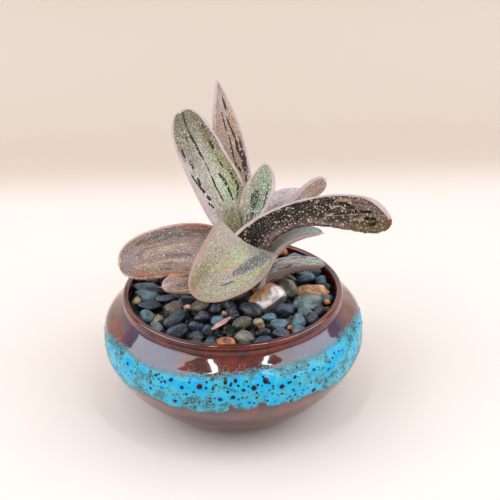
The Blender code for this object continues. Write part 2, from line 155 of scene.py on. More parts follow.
def new_piece(name, points, faces, finish, **marks):
    """Puts a surface into a mesh: points in millimetres, lists of faces with four or three corners, all
    turned to point outwards, and marks, which are one number or one colour for each point."""
    volume = 0.0
    for group in faces:
        a = points[group[:, 0]]
        for corner in range(1, group.shape[1] - 1):
            b = points[group[:, corner]]
            c = points[group[:, corner + 1]]
            volume += np.einsum("ij,ij->", a, np.cross(b, c))
    if volume < 0:
        faces = [group[:, ::-1] for group in faces]
    sizes = np.concatenate([np.full(len(group), group.shape[1]) for group in faces])
    mesh = bpy.data.meshes.new(name)
    mesh.vertices.add(len(points))
    mesh.vertices.foreach_set("co", (points * MM).astype(np.float32).ravel())
    mesh.loops.add(int(sizes.sum()))
    corners = np.concatenate([group.ravel() for group in faces]).astype(np.int32)
    mesh.loops.foreach_set("vertex_index", corners)
    mesh.polygons.add(len(sizes))
    mesh.polygons.foreach_set("loop_start", (np.cumsum(sizes) - sizes).astype(np.int32))
    mesh.update(calc_edges=True)
    mesh.shade_smooth()
    for title, values in marks.items():
        if values.ndim == 2:
            colours = np.column_stack([values, np.ones(len(values))])
            mark = mesh.attributes.new(title, "FLOAT_COLOR", "POINT")
            mark.data.foreach_set("color", colours.astype(np.float32).ravel())
        else:
            mark = mesh.attributes.new(title, "FLOAT", "POINT")
            mark.data.foreach_set("value", values.astype(np.float32))
    mesh.materials.append(finish)
    piece = bpy.data.objects.new(name, mesh)
    bpy.context.scene.collection.objects.link(piece)
    return piece


def paint(red, green, blue):
    """The light that a colour of 0 to 255 on a screen stands for, as a shader takes it."""
    parts = [((part / 255 + 0.055) / 1.055) ** 2.4 for part in (red, green, blue)]
    return (*parts, 1.0)


def feed(tree, node, inputs):
    """Gives a node's inputs, by name or number, their values or other nodes' outputs."""
    for key, value in inputs.items():
        if isinstance(value, bpy.types.NodeSocket):
            tree.links.new(value, node.inputs[key])
        else:
            node.inputs[key].default_value = value


def put(tree, kind, inputs=None, **settings):
    """Adds a node with its inputs and settings."""
    node = tree.nodes.new(kind)
    for name, value in settings.items():
        setattr(node, name, value)
    feed(tree, node, inputs or {})
    return node


def lay(tree, share, under, over, mode="MIX"):
    """One colour laid over another by a share from 0 to 1."""
    mixed = put(tree, "ShaderNodeMix", {0: share, 6: under, 7: over}, data_type="RGBA", blend_type=mode)
    return mixed.outputs[2]


def lay_numbers(tree, share, under, over):
    """One number laid over another by a share from 0 to 1."""
    return put(tree, "ShaderNodeMix", {0: share, 2: under, 3: over}, data_type="FLOAT").outputs[0]


def reckon(tree, operation, *values):
    """A sum, product or other reckoning of one or two numbers or outputs."""
    return put(tree, "ShaderNodeMath", dict(enumerate(values)), operation=operation).outputs[0]


def times(tree, product, *others):
    """The product of numbers or outputs."""
    for other in others:
        product = reckon(tree, "MULTIPLY", product, other)
    return product


def plus(tree, total, *others):
    """The sum of numbers or outputs."""
    for other in others:
        total = reckon(tree, "ADD", total, other)
    return total


def swing(tree, noise, size):
    """Noise centred on 0 and made that many times as large."""
    return times(tree, reckon(tree, "SUBTRACT", noise, 0.5), size)


def between(tree, value, low, high, start=0.0, end=1.0):
    """Start where the value is below low, end where it is above high, and a smooth step between."""
    inputs = {"Value": value, "From Min": low, "From Max": high, "To Min": start, "To Max": end}
    return put(tree, "ShaderNodeMapRange", inputs, interpolation_type="SMOOTHSTEP").outputs[0]


def mottle(tree, place, size, detail=3.0, stretch=None):
    """Noise of about that size in millimetres, 0.5 on average."""
    if stretch:
        place = put(tree, "ShaderNodeMapping", {"Vector": place, "Scale": stretch}).outputs[0]
    inputs = {"Vector": place, "Scale": 1 / (size * MM), "Detail": detail, "Roughness": 0.6}
    return put(tree, "ShaderNodeTexNoise", inputs).outputs[0]


def cells(tree, place, scale):
    """How far it is to the nearest of many random points, so many to a metre, in units of their pitch."""
    return put(tree, "ShaderNodeTexVoronoi", {"Vector": place, "Scale": scale}).outputs["Distance"]


def mark_of(tree, title):
    """A mark of the mesh as a number."""
    return put(tree, "ShaderNodeAttribute", attribute_name=title).outputs["Fac"]


def parts_of(tree, place):
    """A place's width, depth and height."""
    return put(tree, "ShaderNodeSeparateXYZ", {0: place}).outputs


def raised(tree, height, depth, strength=1.0):
    """The surface's normal, tilted by a relief of that depth in metres."""
    return put(tree, "ShaderNodeBump", {"Height": height, "Distance": depth, "Strength": strength}).outputs[0]


def new_finish(name):
    """A material with only its shader and output: returns it, its tree, its shader and the place on the
    piece."""
    finish = bpy.data.materials.new(name)
    finish.use_nodes = True
    tree = finish.node_tree
    place = put(tree, "ShaderNodeTexCoord").outputs["Object"]
    return finish, tree, tree.nodes["Principled BSDF"], place


def bowl_profile():
    """The bowl's section as radius and height: over the lip, down the outside, under the foot ring, through
    the drain hole and up the inside. The lip is a half circle, and each other run is a cubic curve with its
    two pulls between its ends."""
    lip_angle = np.radians(np.linspace(180, -15, LIP_POINTS))
    lip = np.column_stack([MOUTH_RADIUS + LIP_RADIUS * (1 + np.cos(lip_angle)),
                           LIP_HEIGHT + LIP_RADIUS * np.sin(lip_angle)])
    return np.vstack([
        lip,
        bend((53.8, 57.8), (53.2, 57.0), (53.0, 56.0), NECK, NECK_POINTS),
        bend(NECK, (62.0, 46.6), (65.0, 48.6), BELLY, SHOULDER_POINTS),
        bend(BELLY, (65.0, 26.5), (46.5, 3.5), (FOOT_RADIUS, 0.0), LOWER_POINTS),
        bend((FOOT_RADIUS, 0.0), (33.0, 0.0), (31.0, 0.0), (FOOT_INNER, 0.0), 3),
        bend((FOOT_INNER, 0.0), (28.6, 0.2), (27.7, 2.3), (27.5, FOOT_RECESS), 4),
        bend((27.5, FOOT_RECESS), (20.0, FOOT_RECESS), (12.0, FOOT_RECESS), (DRAIN_RADIUS, FOOT_RECESS), 5),
        bend((DRAIN_RADIUS, FOOT_RECESS), (4.7, 3.5), (4.7, 5.5), (DRAIN_RADIUS, FLOOR_TOP), 4),
        bend((DRAIN_RADIUS, FLOOR_TOP), (12.0, FLOOR_TOP), (22.0, FLOOR_TOP), (30.0, FLOOR_TOP), 5),
        bend((30.0, FLOOR_TOP), (46.0, 8.5), (INNER_BELLY, 27.5), (INNER_BELLY, 36.0), 8),
        bend((INNER_BELLY, 36.0), (INNER_BELLY, 45.0), (57.0, 48.0), (MOUTH_RADIUS, 53.5), 8),
        bend((MOUTH_RADIUS, 53.5), (MOUTH_RADIUS, 55.0), (MOUTH_RADIUS, 57.0), (MOUTH_RADIUS, LIP_HEIGHT), 5),
    ])


def turned_from(degrees, angle):
    """How far round the bowl a place lies from an angle, from -180 to 180 degrees."""
    return (degrees - angle + 180) % 360 - 180


def ring_cloud(chance, across, degrees, count):
    """Soft random heights round the bowl, with that many steps of the net round it."""
    return cloud(chance, across, (degrees + 180) * count / 360, count)


def band_depth(degrees, height, chance):
    """How far inside the turquoise band a point is, in millimetres, negative outside it. The band's upper
    edge is a few slow waves that sink at the bowl's sides, and its lower edge a level line with a
    half-ellipse hanging from it at each run."""
    rad = np.radians(degrees)
    top = BAND_TOP + 1.1 * np.sin(rad - 0.35) + 0.6 * np.cos(2 * rad - 0.5) + 0.45 * np.sin(5 * rad + 1.0)
    top += 0.5 * ring_cloud(chance, degrees * 0 + 0.5, degrees, 60)
    beside = ease(np.abs(degrees), 58, 92) * (1 - ease(np.abs(degrees), 125, 160))
    top -= np.where(degrees < 0, 5.5, 4.0) * beside
    foot = BAND_FOOT + 0.4 * ring_cloud(chance, degrees * 0 + 0.5, degrees, 50)
    edge = foot
    hidden = [(angle + chance.uniform(-3, 3), chance.uniform(5, 9), chance.uniform(2, 7))
              for angle in range(94, 270, 11)]
    for angle, half, depth in RUNS + hidden:
        off = turned_from(degrees, angle)
        edge = np.minimum(edge, foot - depth * np.sqrt(np.clip(1 - (off / half) ** 2, 0, 1)))
    return np.minimum((top - height) * 1.25, height - edge)


def bowl_blooms(degrees, height, chance):
    """Three marks of each point of the shoulder: pit, how far in millimetres it lies inside a burst bubble;
    bloom, which falls from 1 at the pit to 0 at the end of the clear azure round it; and ring, how far it
    lies from the nearest ring of a healed bubble. The bubbles on the bowl's back are drawn at random."""
    spans = ((80, 280), (36, 49), (0.4, 1.2), (1.8, 5.0))
    hidden = [tuple(chance.uniform(*span) for span in spans) for _ in range(HIDDEN_PITS)]
    pit = np.full(degrees.shape, -2.0)
    bloom = np.zeros(degrees.shape)
    ring = np.full(degrees.shape, 9.0)
    waver = 0.35 * ring_cloud(chance, height, degrees, 150)
    for angle, level, pit_radius, reach in PITS + hidden:
        round_off = np.radians(turned_from(degrees, angle)) * BELLY[0]
        away = np.hypot(round_off * 0.95, (height - level) * 1.15)
        pit = np.maximum(pit, pit_radius - away)
        bloom = np.maximum(bloom, 1 - (away + waver) / reach)
    for angle, level, radius in RINGS:
        round_off = np.radians(turned_from(degrees, angle)) * NECK[0]
        away = np.hypot(round_off * 1.05, (height - level) * 1.35)
        ring = np.minimum(ring, np.abs(away + 0.5 * waver - radius))
    return pit, np.clip(bloom, 0, 1), ring


def oxblood(tree, place, cloudy, streaky, fine):
    """The glaze outside the band: deep oxblood, thinner low down, with a painted violet reflection of the
    side windows on both sides of the front of the shoulder, a brown lip and the pale rings of healed bubbles."""
    width, depth, height = parts_of(tree, place)
    deep = lay(tree, between(tree, cloudy, 0.40, 0.62), paint(68, 10, 4), paint(120, 26, 10))
    deep = lay(tree, between(tree, streaky, 0.50, 0.70, 0, 0.5), deep, paint(34, 8, 8))
    pale = lay(tree, fine, paint(66, 14, 8), paint(86, 30, 20))
    low_down = times(tree, between(tree, height, 0.036, 0.016), between(tree, streaky, 0.3, 0.65, 0.55, 1.0))
    body = lay(tree, low_down, deep, pale)
    aside = reckon(tree, "ABSOLUTE", width)
    # Painted reflection: a violet sheen laid on both sides of the front of the shoulder, where the side
    # windows reflect
    painted_window_reflection = times(tree, between(tree, aside, 0.021, 0.029), between(tree, height, 0.0560, 0.0530),
                  between(tree, cloudy, 0.25, 0.65, 0.55, 1.0), between(tree, height, 0.040, 0.044),
                  between(tree, aside, 0.054, 0.047), between(tree, depth, 0.004, -0.010))
    body = lay(tree, painted_window_reflection, body, paint(64, 52, 98))
    body = lay(tree, between(tree, height, 0.0570, 0.0590, 0, 0.35), body, paint(70, 26, 16))
    healed = times(tree, between(tree, mark_of(tree, "ring"), 0.46, 0.08),
                   between(tree, fine, 0.40, 0.58, 0.1, 0.5))
    return lay(tree, healed, body, paint(170, 128, 100))


def turquoise(tree, place, height, streaky, fine, dusty):
    """The band's glaze: azure round each burst bubble, a freckled teal between them, and greyer where it is
    thin at its edges. Returned with the share in which it covers the body, and the share of its holes."""
    band = mark_of(tree, "band")
    bloom = mark_of(tree, "bloom")
    high_up = between(tree, height, 0.042, 0.046)
    ragged = plus(tree, band, swing(tree, fine, between(tree, high_up, 0, 1, 1.6, 4.0)),
                  swing(tree, dusty, between(tree, high_up, 0, 1, 0.6, 5.5)))
    patches = between(tree, mottle(tree, place, 5.0, 3), 0.40, 0.60)
    teal = lay(tree, between(tree, dusty, 0.38, 0.62), paint(40, 90, 102), paint(72, 162, 184))
    ground = lay(tree, patches, teal, paint(70, 190, 220))
    azure = lay(tree, between(tree, bloom, 0.05, 0.6), paint(44, 198, 234), paint(8, 178, 238))
    clear = between(tree, plus(tree, bloom, swing(tree, fine, 0.6)), 0.02, 0.30)
    freckles = times(tree, between(tree, cells(tree, place, 760.0), 0.38, 0.22),
                     between(tree, mottle(tree, place, 3.2, 2), 0.40, 0.54),
                     between(tree, clear, 0.0, 1.0, 0.95, 0.35))
    colour = lay(tree, freckles, lay(tree, clear, ground, azure), paint(18, 30, 36))
    hole = between(tree, plus(tree, mark_of(tree, "pit"), swing(tree, fine, 0.9)), -0.15, 0.15)
    hole = reckon(tree, "MAXIMUM", hole, between(tree, cells(tree, place, 330.0), 0.22, 0.16))
    hole = times(tree, hole, between(tree, band, 0.3, 0.8))
    hole_tone = lay(tree, between(tree, streaky, 0.52, 0.60), paint(4, 6, 9), paint(46, 20, 20))
    colour = lay(tree, hole, colour, hole_tone)
    faded = times(tree, between(tree, band, 2.6, 0.4, 0, 0.75), high_up)
    faded_tone = lay(tree, between(tree, dusty, 0.42, 0.58), paint(66, 74, 76), paint(104, 140, 148))
    colour = lay(tree, faded, colour, faded_tone)
    rim = times(tree, between(tree, ragged, 1.0, 0.2, 0, 0.6), between(tree, high_up, 0.0, 1.0, 1.0, 0.0))
    colour = lay(tree, rim, colour, paint(84, 108, 110))
    return colour, between(tree, ragged, -0.25, 0.45), hole


def glaze_finish():
    """Oxblood glaze with a coat of gloss, and a band of duller, pitted turquoise over it."""
    finish, tree, shader, place = new_finish("oxblood_and_turquoise_glaze")
    height = parts_of(tree, place)["Z"]
    cloudy = mottle(tree, place, 11, 5)
    streaky = mottle(tree, place, 5, 4, (1, 1, 0.25))
    fine = mottle(tree, place, 1.3, 2)
    dusty = mottle(tree, place, 0.6, 1)
    body = oxblood(tree, place, cloudy, streaky, fine)
    band, in_band, hole = turquoise(tree, place, height, streaky, fine, dusty)
    roughness = lay_numbers(tree, in_band, between(tree, cloudy, 0.3, 0.7, 0.08, 0.14),
                            between(tree, dusty, 0.3, 0.7, 0.30, 0.46))
    gloss = times(tree, between(tree, height, 0.034, 0.022, 1.0, 0.06),
                  plus(tree, between(tree, height, 0.0530, 0.0555, 1.0, 0.5),
                       between(tree, height, 0.0592, 0.0597, 0.0, 0.5)))
    relief = plus(tree, times(tree, cloudy, 0.5), times(tree, fine, 0.12))
    relief = reckon(tree, "SUBTRACT", relief, times(tree, hole, 0.35))
    feed(tree, shader, {"Base Color": lay(tree, in_band, body, band), "Roughness": roughness,
                        "Normal": raised(tree, relief, 0.0004, 0.55), "IOR": 1.5, "Specular IOR Level": 0.22,
                        "Coat Weight": lay_numbers(tree, in_band, gloss, 0.2), "Coat Roughness": 0.04,
                        "Coat IOR": 1.8})
    return finish


def make_bowl():
    """Turns the section round the axis: a point is (r cos a, r sin a, z), with faint throwing rings on the
    outside, a slow wobble of the clay, the band's glaze standing proud and the burst bubbles sunk into it."""
    chance = np.random.default_rng(BOWL_SEED)
    profile = bowl_profile()
    slope = np.gradient(np.vstack([profile[-1:], profile, profile[:1]]), axis=0)[1:-1]
    out = np.column_stack([slope[:, 1], -slope[:, 0]])
    out /= np.linalg.norm(out, axis=1)[:, None]
    angle = np.linspace(0, 2 * np.pi, BOWL_STEPS, endpoint=False)
    radius, turn = np.meshgrid(profile[:, 0], angle, indexing="ij")
    height = np.repeat(profile[:, 1], BOWL_STEPS).reshape(radius.shape)
    degrees = (np.degrees(turn) + 270) % 360 - 180
    run = np.arange(SHOULDER_POINTS + LOWER_POINTS)
    above = LIP_POINTS + NECK_POINTS
    outside = np.zeros(len(profile))
    outside[above:above + len(run)] = np.minimum(1, np.minimum(run, run[-1] - run) / 6)
    outside = np.repeat(outside, BOWL_STEPS).reshape(radius.shape)
    band = np.where(outside > 0, band_depth(degrees, height, chance), -8.0)
    pit, bloom, ring = bowl_blooms(degrees, height, chance)
    pit[band < 0] = -2.0
    lift = THROWING_DEPTH * np.sin(height * 2 * np.pi / THROWING_PITCH) * outside
    lift += 0.12 * outside * ring_cloud(chance, height / 7, degrees, 24)
    lift += BAND_RAISE * ease(band, -0.5, 0.9) * outside
    lift -= PIT_DEPTH * ease(pit, -0.1, 0.4) * outside
    wide = radius + lift * out[:, :1]
    points = np.stack([wide * np.cos(turn), wide * np.sin(turn), height + lift * out[:, 1:]], -1)
    faces = closed_rings(len(profile), BOWL_STEPS)
    return new_piece("glazed_bowl", points.reshape(-1, 3), [faces], glaze_finish(), band=band.ravel(),
                     pit=pit.ravel(), bloom=bloom.ravel(), ring=ring.ravel())


bowl = make_bowl()
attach(bowl, "root")
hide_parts("pot")


# The potting mix
# Peat, bark crumbs and grit, filled into the bowl up to below its neck. It is loose, and the pebbles hide it.
def soil_finish():
    """Dark crumbs with brown fibres and pale specks of grit."""
    finish, tree, shader, place = new_finish("crumbly_potting_mix")
    crumbs = cells(tree, place, 700.0)
    fibre = mottle(tree, place, 2.5, 5, (1, 4, 4))
    colour = lay(tree, fibre, paint(34, 24, 18), paint(86, 62, 42))
    colour = lay(tree, between(tree, crumbs, 0.12, 0.06), colour, paint(170, 160, 145))
    feed(tree, shader, {"Base Color": colour, "Roughness": between(tree, fibre, 0.2, 0.8, 0.8, 1.0),
                        "Normal": raised(tree, crumbs, 0.0008, 0.8)})
    return finish


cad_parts["potting_mix"].data.materials.clear()
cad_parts["potting_mix"].data.materials.append(soil_finish())


# The stem
# A short woody stump as thick as a finger, with the scars of old leaves round it. It grows from the mix.
def stem_finish():
    """Brown bark with darker rings where leaves sat, olive where it is young."""
    finish, tree, shader, place = new_finish("scarred_stem")
    rough = mottle(tree, place, 1.2, 5)
    wander = plus(tree, times(tree, parts_of(tree, place)["Z"], 2600.0), times(tree, rough, 3.0))
    scars = between(tree, reckon(tree, "SINE", wander), 0.55, 0.95)
    colour = lay(tree, rough, paint(60, 52, 34), paint(112, 100, 66))
    colour = lay(tree, scars, colour, paint(38, 30, 22))
    feed(tree, shader, {"Base Color": colour, "Roughness": between(tree, rough, 0.2, 0.8, 0.6, 0.85),
                        "Normal": raised(tree, reckon(tree, "SUBTRACT", rough, scars), 0.0006)})
    return finish


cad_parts["stem"].data.materials.clear()
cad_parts["stem"].data.materials.append(stem_finish())


# The leaves
# Twelve thick fleshy tongues, each grown in one piece round the stem. The skin is tough and waxy, covered
# with pale warts, with a smooth raised margin and a small horny point at the tip.
CELL = 0.36
MUCRO = 1.1
MUCRO_THICKNESS = 0.5
FOOT_THICKENING = 0.35
TIP_CROWDING = 1.5
SHEATH_FOOT = 55.0
SHEATH_LEAN = 0.55
SHEATH_WIDTH = 0.62
SHEATH_RINGS = 10
STEM_PLACE = (5.5, 3.0)
MARGIN_BEAD = 0.22
SLOW_SWELL = 0.16
RING_POWERS = (0.75, 0.6)
SKIN_MAP = 0.01
LEAF_SEED = 20


def through(values, s):
    """A smooth value at each s from 0 to 1: a parabola through three values, or, through four, cubics that
    cross each value with the slope between its neighbours."""
    if len(values) == 3:
        foot, middle, tip = values
        return foot * (2 * s - 1) * (s - 1) + 4 * middle * s * (1 - s) + tip * s * (2 * s - 1)
    reach = len(values) - 1
    index = np.clip((s * reach).astype(int), 0, reach - 1)
    part = s * reach - index
    line = np.array([2 * values[0] - values[1], *values, 2 * values[-1] - values[-2]], float)
    a, b, c, d = (line[index + step] for step in range(4))
    return 0.5 * (2 * b + (c - a) * part + (2 * a - 5 * b + 4 * c - d) * part ** 2
                  + (3 * b - a - 3 * c + d) * part ** 3)


def spread(places, s, x):
    """A colour at each point of a leaf from a few painted places (s, x, colour): each place weighs by
    1 / (2 along^2 + 0.35 across^2 + 0.012)^1.6, with its distance along in s and across in x."""
    total = 0
    weights = 0
    for at_s, at_x, value in places:
        weight = (2.0 * (s - at_s) ** 2 + 0.35 * (x - at_x) ** 2 + 0.012) ** -1.6
        total = total + weight[..., None] * np.array(value[:3])
        weights = weights + weight
    return total / weights[..., None]


def stroke_share(width, corners, leaf, skin, noise):
    """1 on a painted stroke and 0 beside it. Its corners are (s, x); the nearest distance to its straight
    runs is compared with half its width, which narrows to a third at both ends and is roughened by noise."""
    long = leaf["length"]
    along = skin.s * long
    across = skin.x * skin.half
    away = np.full(along.shape, 99.0)
    steps = len(corners) - 1
    for number, ((s0, x0), (s1, x1)) in enumerate(zip(corners, corners[1:])):
        start_across = x0 * skin.half
        run_across = x1 * skin.half - start_across
        run_along = (s1 - s0) * long
        off_along = along - s0 * long
        off_across = across - start_across
        run_squared = run_along ** 2 + run_across ** 2 + 1e-6
        t = np.clip((off_along * run_along + off_across * run_across) / run_squared, 0, 1)
        place = (number + t) / steps
        slim = 0.5 * width * (1 - (2 * place - 1) ** 4 * 0.67)
        away = np.minimum(away, np.hypot(off_along - t * run_along, off_across - t * run_across) - slim)
    return ease(-away + 0.15 * noise, -0.42, 0.10)


def new_group(name, inputs, outputs):
    """An empty node group with its inputs and outputs, given as the titles of each kind: returns its tree,
    what is given to it and its output node."""
    tree = bpy.data.node_groups.new(name, "ShaderNodeTree")
    kinds = {"colour": "NodeSocketColor", "number": "NodeSocketFloat", "place": "NodeSocketVector"}
    for way, sockets in (("INPUT", inputs), ("OUTPUT", outputs)):
        for kind, titles in sockets.items():
            for title in titles:
                tree.interface.new_socket(title, in_out=way, socket_type=kinds[kind])
    return tree, tree.nodes.new("NodeGroupInput").outputs, tree.nodes.new("NodeGroupOutput")


def use_group(tree, group, inputs):
    """Places a group in a material with its own values."""
    node = tree.nodes.new("ShaderNodeGroup")
    node.node_tree = group
    feed(tree, node, inputs)
    return node.outputs


def shade(tree, colour, bright):
    """A colour made brighter or darker by a number."""
    grey = put(tree, "ShaderNodeCombineColor", {0: bright, 1: bright, 2: bright}).outputs[0]
    return lay(tree, 1.0, colour, grey, "MULTIPLY")


def lengthwise(tree, skin, stretch, detail):
    """Noise drawn out along the leaf."""
    drawn = put(tree, "ShaderNodeMapping", {"Vector": skin, "Scale": stretch}).outputs[0]
    return put(tree, "ShaderNodeTexNoise", {"Vector": drawn, "Scale": 1.0, "Detail": detail}).outputs[0]


def skin_group():
    """The warty skin: the painted ground with clouds and lengthwise streaks, dark strokes, a net of small
    pale dots, fine squiggles, raised warts and the smooth margin. Skin is the place on the skin in
    millimetres."""
    inputs = {"colour": ("Ground", "Streak", "Blotch", "Wart", "Margin"), "place": ("Place", "Skin"),
              "number": ("Streaks", "Dots", "Dark dots", "Squiggles", "Dark", "Warts", "Edge")}
    outputs = {"colour": ("Colour",), "number": ("Roughness", "Height")}
    tree, given, out = new_group("warty_skin", inputs, outputs)
    place = given["Place"]
    skin = given["Skin"]
    broad = mottle(tree, place, 6.0, 4)
    fine = mottle(tree, place, 0.9, 3)
    grain = mottle(tree, place, 0.28, 1)
    streaky = lengthwise(tree, skin, (0.9, 0.14, 1.0), 4.0)
    thready = lengthwise(tree, skin, (2.4, 0.35, 1.0), 2.0)
    colour = lay(tree, between(tree, broad, 0.35, 0.70, 0, 0.30), given["Ground"], given["Streak"])
    streak_share = times(tree, between(tree, streaky, 0.48, 0.62), given["Streaks"])
    colour = lay(tree, streak_share, colour, given["Streak"])

    net_inputs = {"Vector": skin, "Scale": 1.12, "Randomness": 0.75}
    net = put(tree, "ShaderNodeTexVoronoi", net_inputs, voronoi_dimensions="2D").outputs
    kind = put(tree, "ShaderNodeSeparateColor", {0: net["Color"]}).outputs
    spot = plus(tree, net["Distance"], times(tree, kind[0], 0.20))
    dot = times(tree, between(tree, spot, 0.44, 0.26), between(tree, kind[1], 0.10, 0.35, 0.15, 1.0))
    bright = times(tree, between(tree, fine, 0.25, 0.75, 0.76, 1.24),
                   between(tree, thready, 0.30, 0.70, 0.74, 1.22),
                   between(tree, net["Distance"], 0.38, 0.62, 1.06, 0.80))
    colour = shade(tree, colour, bright)
    wobble = plus(tree, swing(tree, fine, 0.3), swing(tree, thready, 0.5))
    dark_share = between(tree, plus(tree, given["Dark"], wobble), 0.32, 0.58)
    colour = lay(tree, dark_share, colour, given["Blotch"])
    dot_share = times(tree, dot, lay_numbers(tree, dark_share, given["Dots"], given["Dark dots"]))
    colour = lay(tree, dot_share, colour, given["Wart"])

    swirl_inputs = {"Vector": skin, "Scale": 0.62, "Detail": 1.5, "Distortion": 1.6}
    swirl = put(tree, "ShaderNodeTexNoise", swirl_inputs, noise_dimensions="2D").outputs[0]
    worm = between(tree, reckon(tree, "ABSOLUTE", reckon(tree, "SUBTRACT", swirl, 0.5)), 0.036, 0.014)
    broken = put(tree, "ShaderNodeTexNoise", {"Vector": skin, "Scale": 0.8, "Detail": 1.0}).outputs[0]
    worm = times(tree, worm, between(tree, broken, 0.46, 0.54), given["Squiggles"])
    colour = lay(tree, worm, colour, given["Wart"])
    wart_tone = lay(tree, between(tree, grain, 0.35, 0.65, 0.0, 0.35), given["Wart"], given["Ground"])
    colour = lay(tree, between(tree, given["Warts"], 0.15, 0.50), colour, wart_tone)

    edge_share = between(tree, plus(tree, given["Edge"], swing(tree, fine, 0.5)), 0.32, 0.66)
    rim_tone = lay(tree, between(tree, broad, 0.4, 0.7, 0, 0.2), given["Margin"], given["Streak"])
    rim_tone = shade(tree, rim_tone, between(tree, streaky, 0.30, 0.70, 0.92, 1.06))
    colour = lay(tree, edge_share, colour, rim_tone)
    grains = times(tree, between(tree, grain, 0.58, 0.70, 0, 0.3), given["Dots"])
    colour = lay(tree, grains, colour, paint(240, 232, 232))
    roughness = lay_numbers(tree, edge_share, between(tree, fine, 0.3, 0.7, 0.34, 0.52), 0.30)
    off_margin = reckon(tree, "SUBTRACT", 1.0, edge_share)
    dot_relief = times(tree, reckon(tree, "MAXIMUM", dot, worm), off_margin, 0.7)
    relief = plus(tree, times(tree, fine, 0.4), times(tree, grain, 0.2), dot_relief)
    feed(tree, out, {"Colour": colour, "Roughness": roughness, "Height": relief})
    return tree


WARTY_SKIN = skin_group()


def skin_finish(name, looks):
    """The skin of one leaf in its own colours."""
    finish, tree, shader, place = new_finish(name)
    map_place = put(tree, "ShaderNodeTexCoord").outputs["UV"]
    to_millimetres = {"Vector": map_place, "Scale": (1 / SKIN_MAP, 1 / SKIN_MAP, 1.0)}
    ground = put(tree, "ShaderNodeAttribute", attribute_name="ground").outputs["Color"]
    values = {"Ground": ground, "Streak": looks["streak"], "Streaks": looks.get("streaks", 0.5),
              "Blotch": looks["blotch"], "Wart": looks["wart"], "Dots": looks.get("dots", 0.5),
              "Dark dots": looks.get("dark_dots", 0.1), "Squiggles": looks.get("squiggles", 0.0),
              "Margin": looks["rim"], "Dark": mark_of(tree, "dark"), "Warts": mark_of(tree, "wart"),
              "Edge": mark_of(tree, "edge"), "Place": place,
              "Skin": put(tree, "ShaderNodeMapping", to_millimetres).outputs[0]}
    skin = use_group(tree, WARTY_SKIN, values)
    feed(tree, shader, {"Base Color": skin["Colour"], "Roughness": skin["Roughness"],
                        "Normal": raised(tree, skin["Height"], 0.00025, 0.8), "Subsurface Weight": 0.10,
                        "Subsurface Radius": (0.0010, 0.0008, 0.0005), "Subsurface Scale": 1.0,
                        "Specular IOR Level": looks.get("gloss", 0.25), "Coat Weight": 0.06,
                        "Coat Roughness": 0.2})
    return finish


def leaf_path(leaf, s):
    """The leaf's spine and its directions at each s. Ahead is (cos rise cos heading, cos rise sin heading,
    sin rise), the spine is its sum along the leaf, and across is turned about it."""
    fine = np.linspace(0, 1, 801)
    ahead, across, up = leaf_directions(leaf, fine)
    middle = 0.5 * (ahead[1:] + ahead[:-1]) * (leaf["length"] / 800)
    spine = np.vstack([[0, 0, 0], np.cumsum(middle, axis=0)]) + np.array(leaf["foot"], float)
    inside = np.clip(s, 0, 1)
    centre = np.column_stack([np.interp(inside, fine, spine[:, axis]) for axis in range(3)])
    ahead, across, up = leaf_directions(leaf, inside)
    return centre + ahead * (leaf["length"] * (s - inside))[:, None], ahead, across, up


def leaf_directions(leaf, s):
    """Ahead, across and up out of the upper face at each s."""
    heading = np.radians(through(leaf["heading"], s))
    rise = np.radians(through(leaf["rise"], s))
    turn = np.radians(through(leaf["turn"], s))[:, None]
    ahead = np.column_stack([np.cos(rise) * np.cos(heading), np.cos(rise) * np.sin(heading), np.sin(rise)])
    level = np.column_stack([-np.sin(heading), np.cos(heading), 0 * s])
    out = np.cross(ahead, level)
    across = level * np.cos(turn) + out * np.sin(turn)
    return ahead, across, np.cross(ahead, across)


def ring_shape(angle):
    """A ring's place across and up, from -1 to 1: cosine and sine, each to a power under 1 with its sign
    kept, so that the faces are flat and the margins full."""
    across, up = RING_POWERS
    return (np.sign(np.cos(angle)) * np.abs(np.cos(angle)) ** across,
            np.sign(np.sin(angle)) * np.abs(np.sin(angle)) ** up)


def leaf_stations(leaf):
    """Each ring's s, half width and thickness: half the width there times (1 - s^blunt)^taper, thickest at
    the foot. Past s = 1 stands the small horny point, joined in by the root of a sum of cubes."""
    length = leaf["length"]
    last = 1 + MUCRO / length
    s = last * (1 - (1 - np.linspace(0, 1, int(length / CELL) + 1)[:-1]) ** TIP_CROWDING)
    inside = np.clip(s, 0, 1)
    half = 0.5 * through(leaf["widths"], inside)
    half = half * np.clip(1 - inside ** leaf["blunt"], 0, 1) ** leaf["taper"]
    spike = MUCRO_THICKNESS * np.clip((last - s) * length / (2 * MUCRO), 0, 1) ** 0.8
    spike *= ease((last - s) * length, 4.5 * MUCRO, 2 * MUCRO)
    half = (half ** 3 + spike ** 3) ** (1 / 3)
    thick = leaf["thick"] * (1 + FOOT_THICKENING * (1 - inside) ** 2)
    thick *= np.clip(1 - inside ** (2 * leaf["blunt"]), 0, 1) ** 0.5
    thick = (thick ** 3 + (2 * spike) ** 3) ** (1 / 3)
    return s, half, thick


def leaf_ring(leaf, half):
    """The corners of a ring, evenly spaced on the skin: their places across and up and their girth, which is
    the way round the leaf in millimetres."""
    dense = np.linspace(0, 2 * np.pi, 4001)
    across, up = ring_shape(dense)
    wide = float(np.mean(half[: len(half) * 2 // 3]))
    arc = np.cumsum(np.hypot(np.diff(across) * wide, np.diff(up) * 0.5 * leaf["thick"]))
    arc = np.concatenate([[0], arc])
    around = int(arc[-1] / CELL)
    girth = np.arange(around) * arc[-1] / around
    return (*ring_shape(np.interp(girth, arc, dense)), girth)


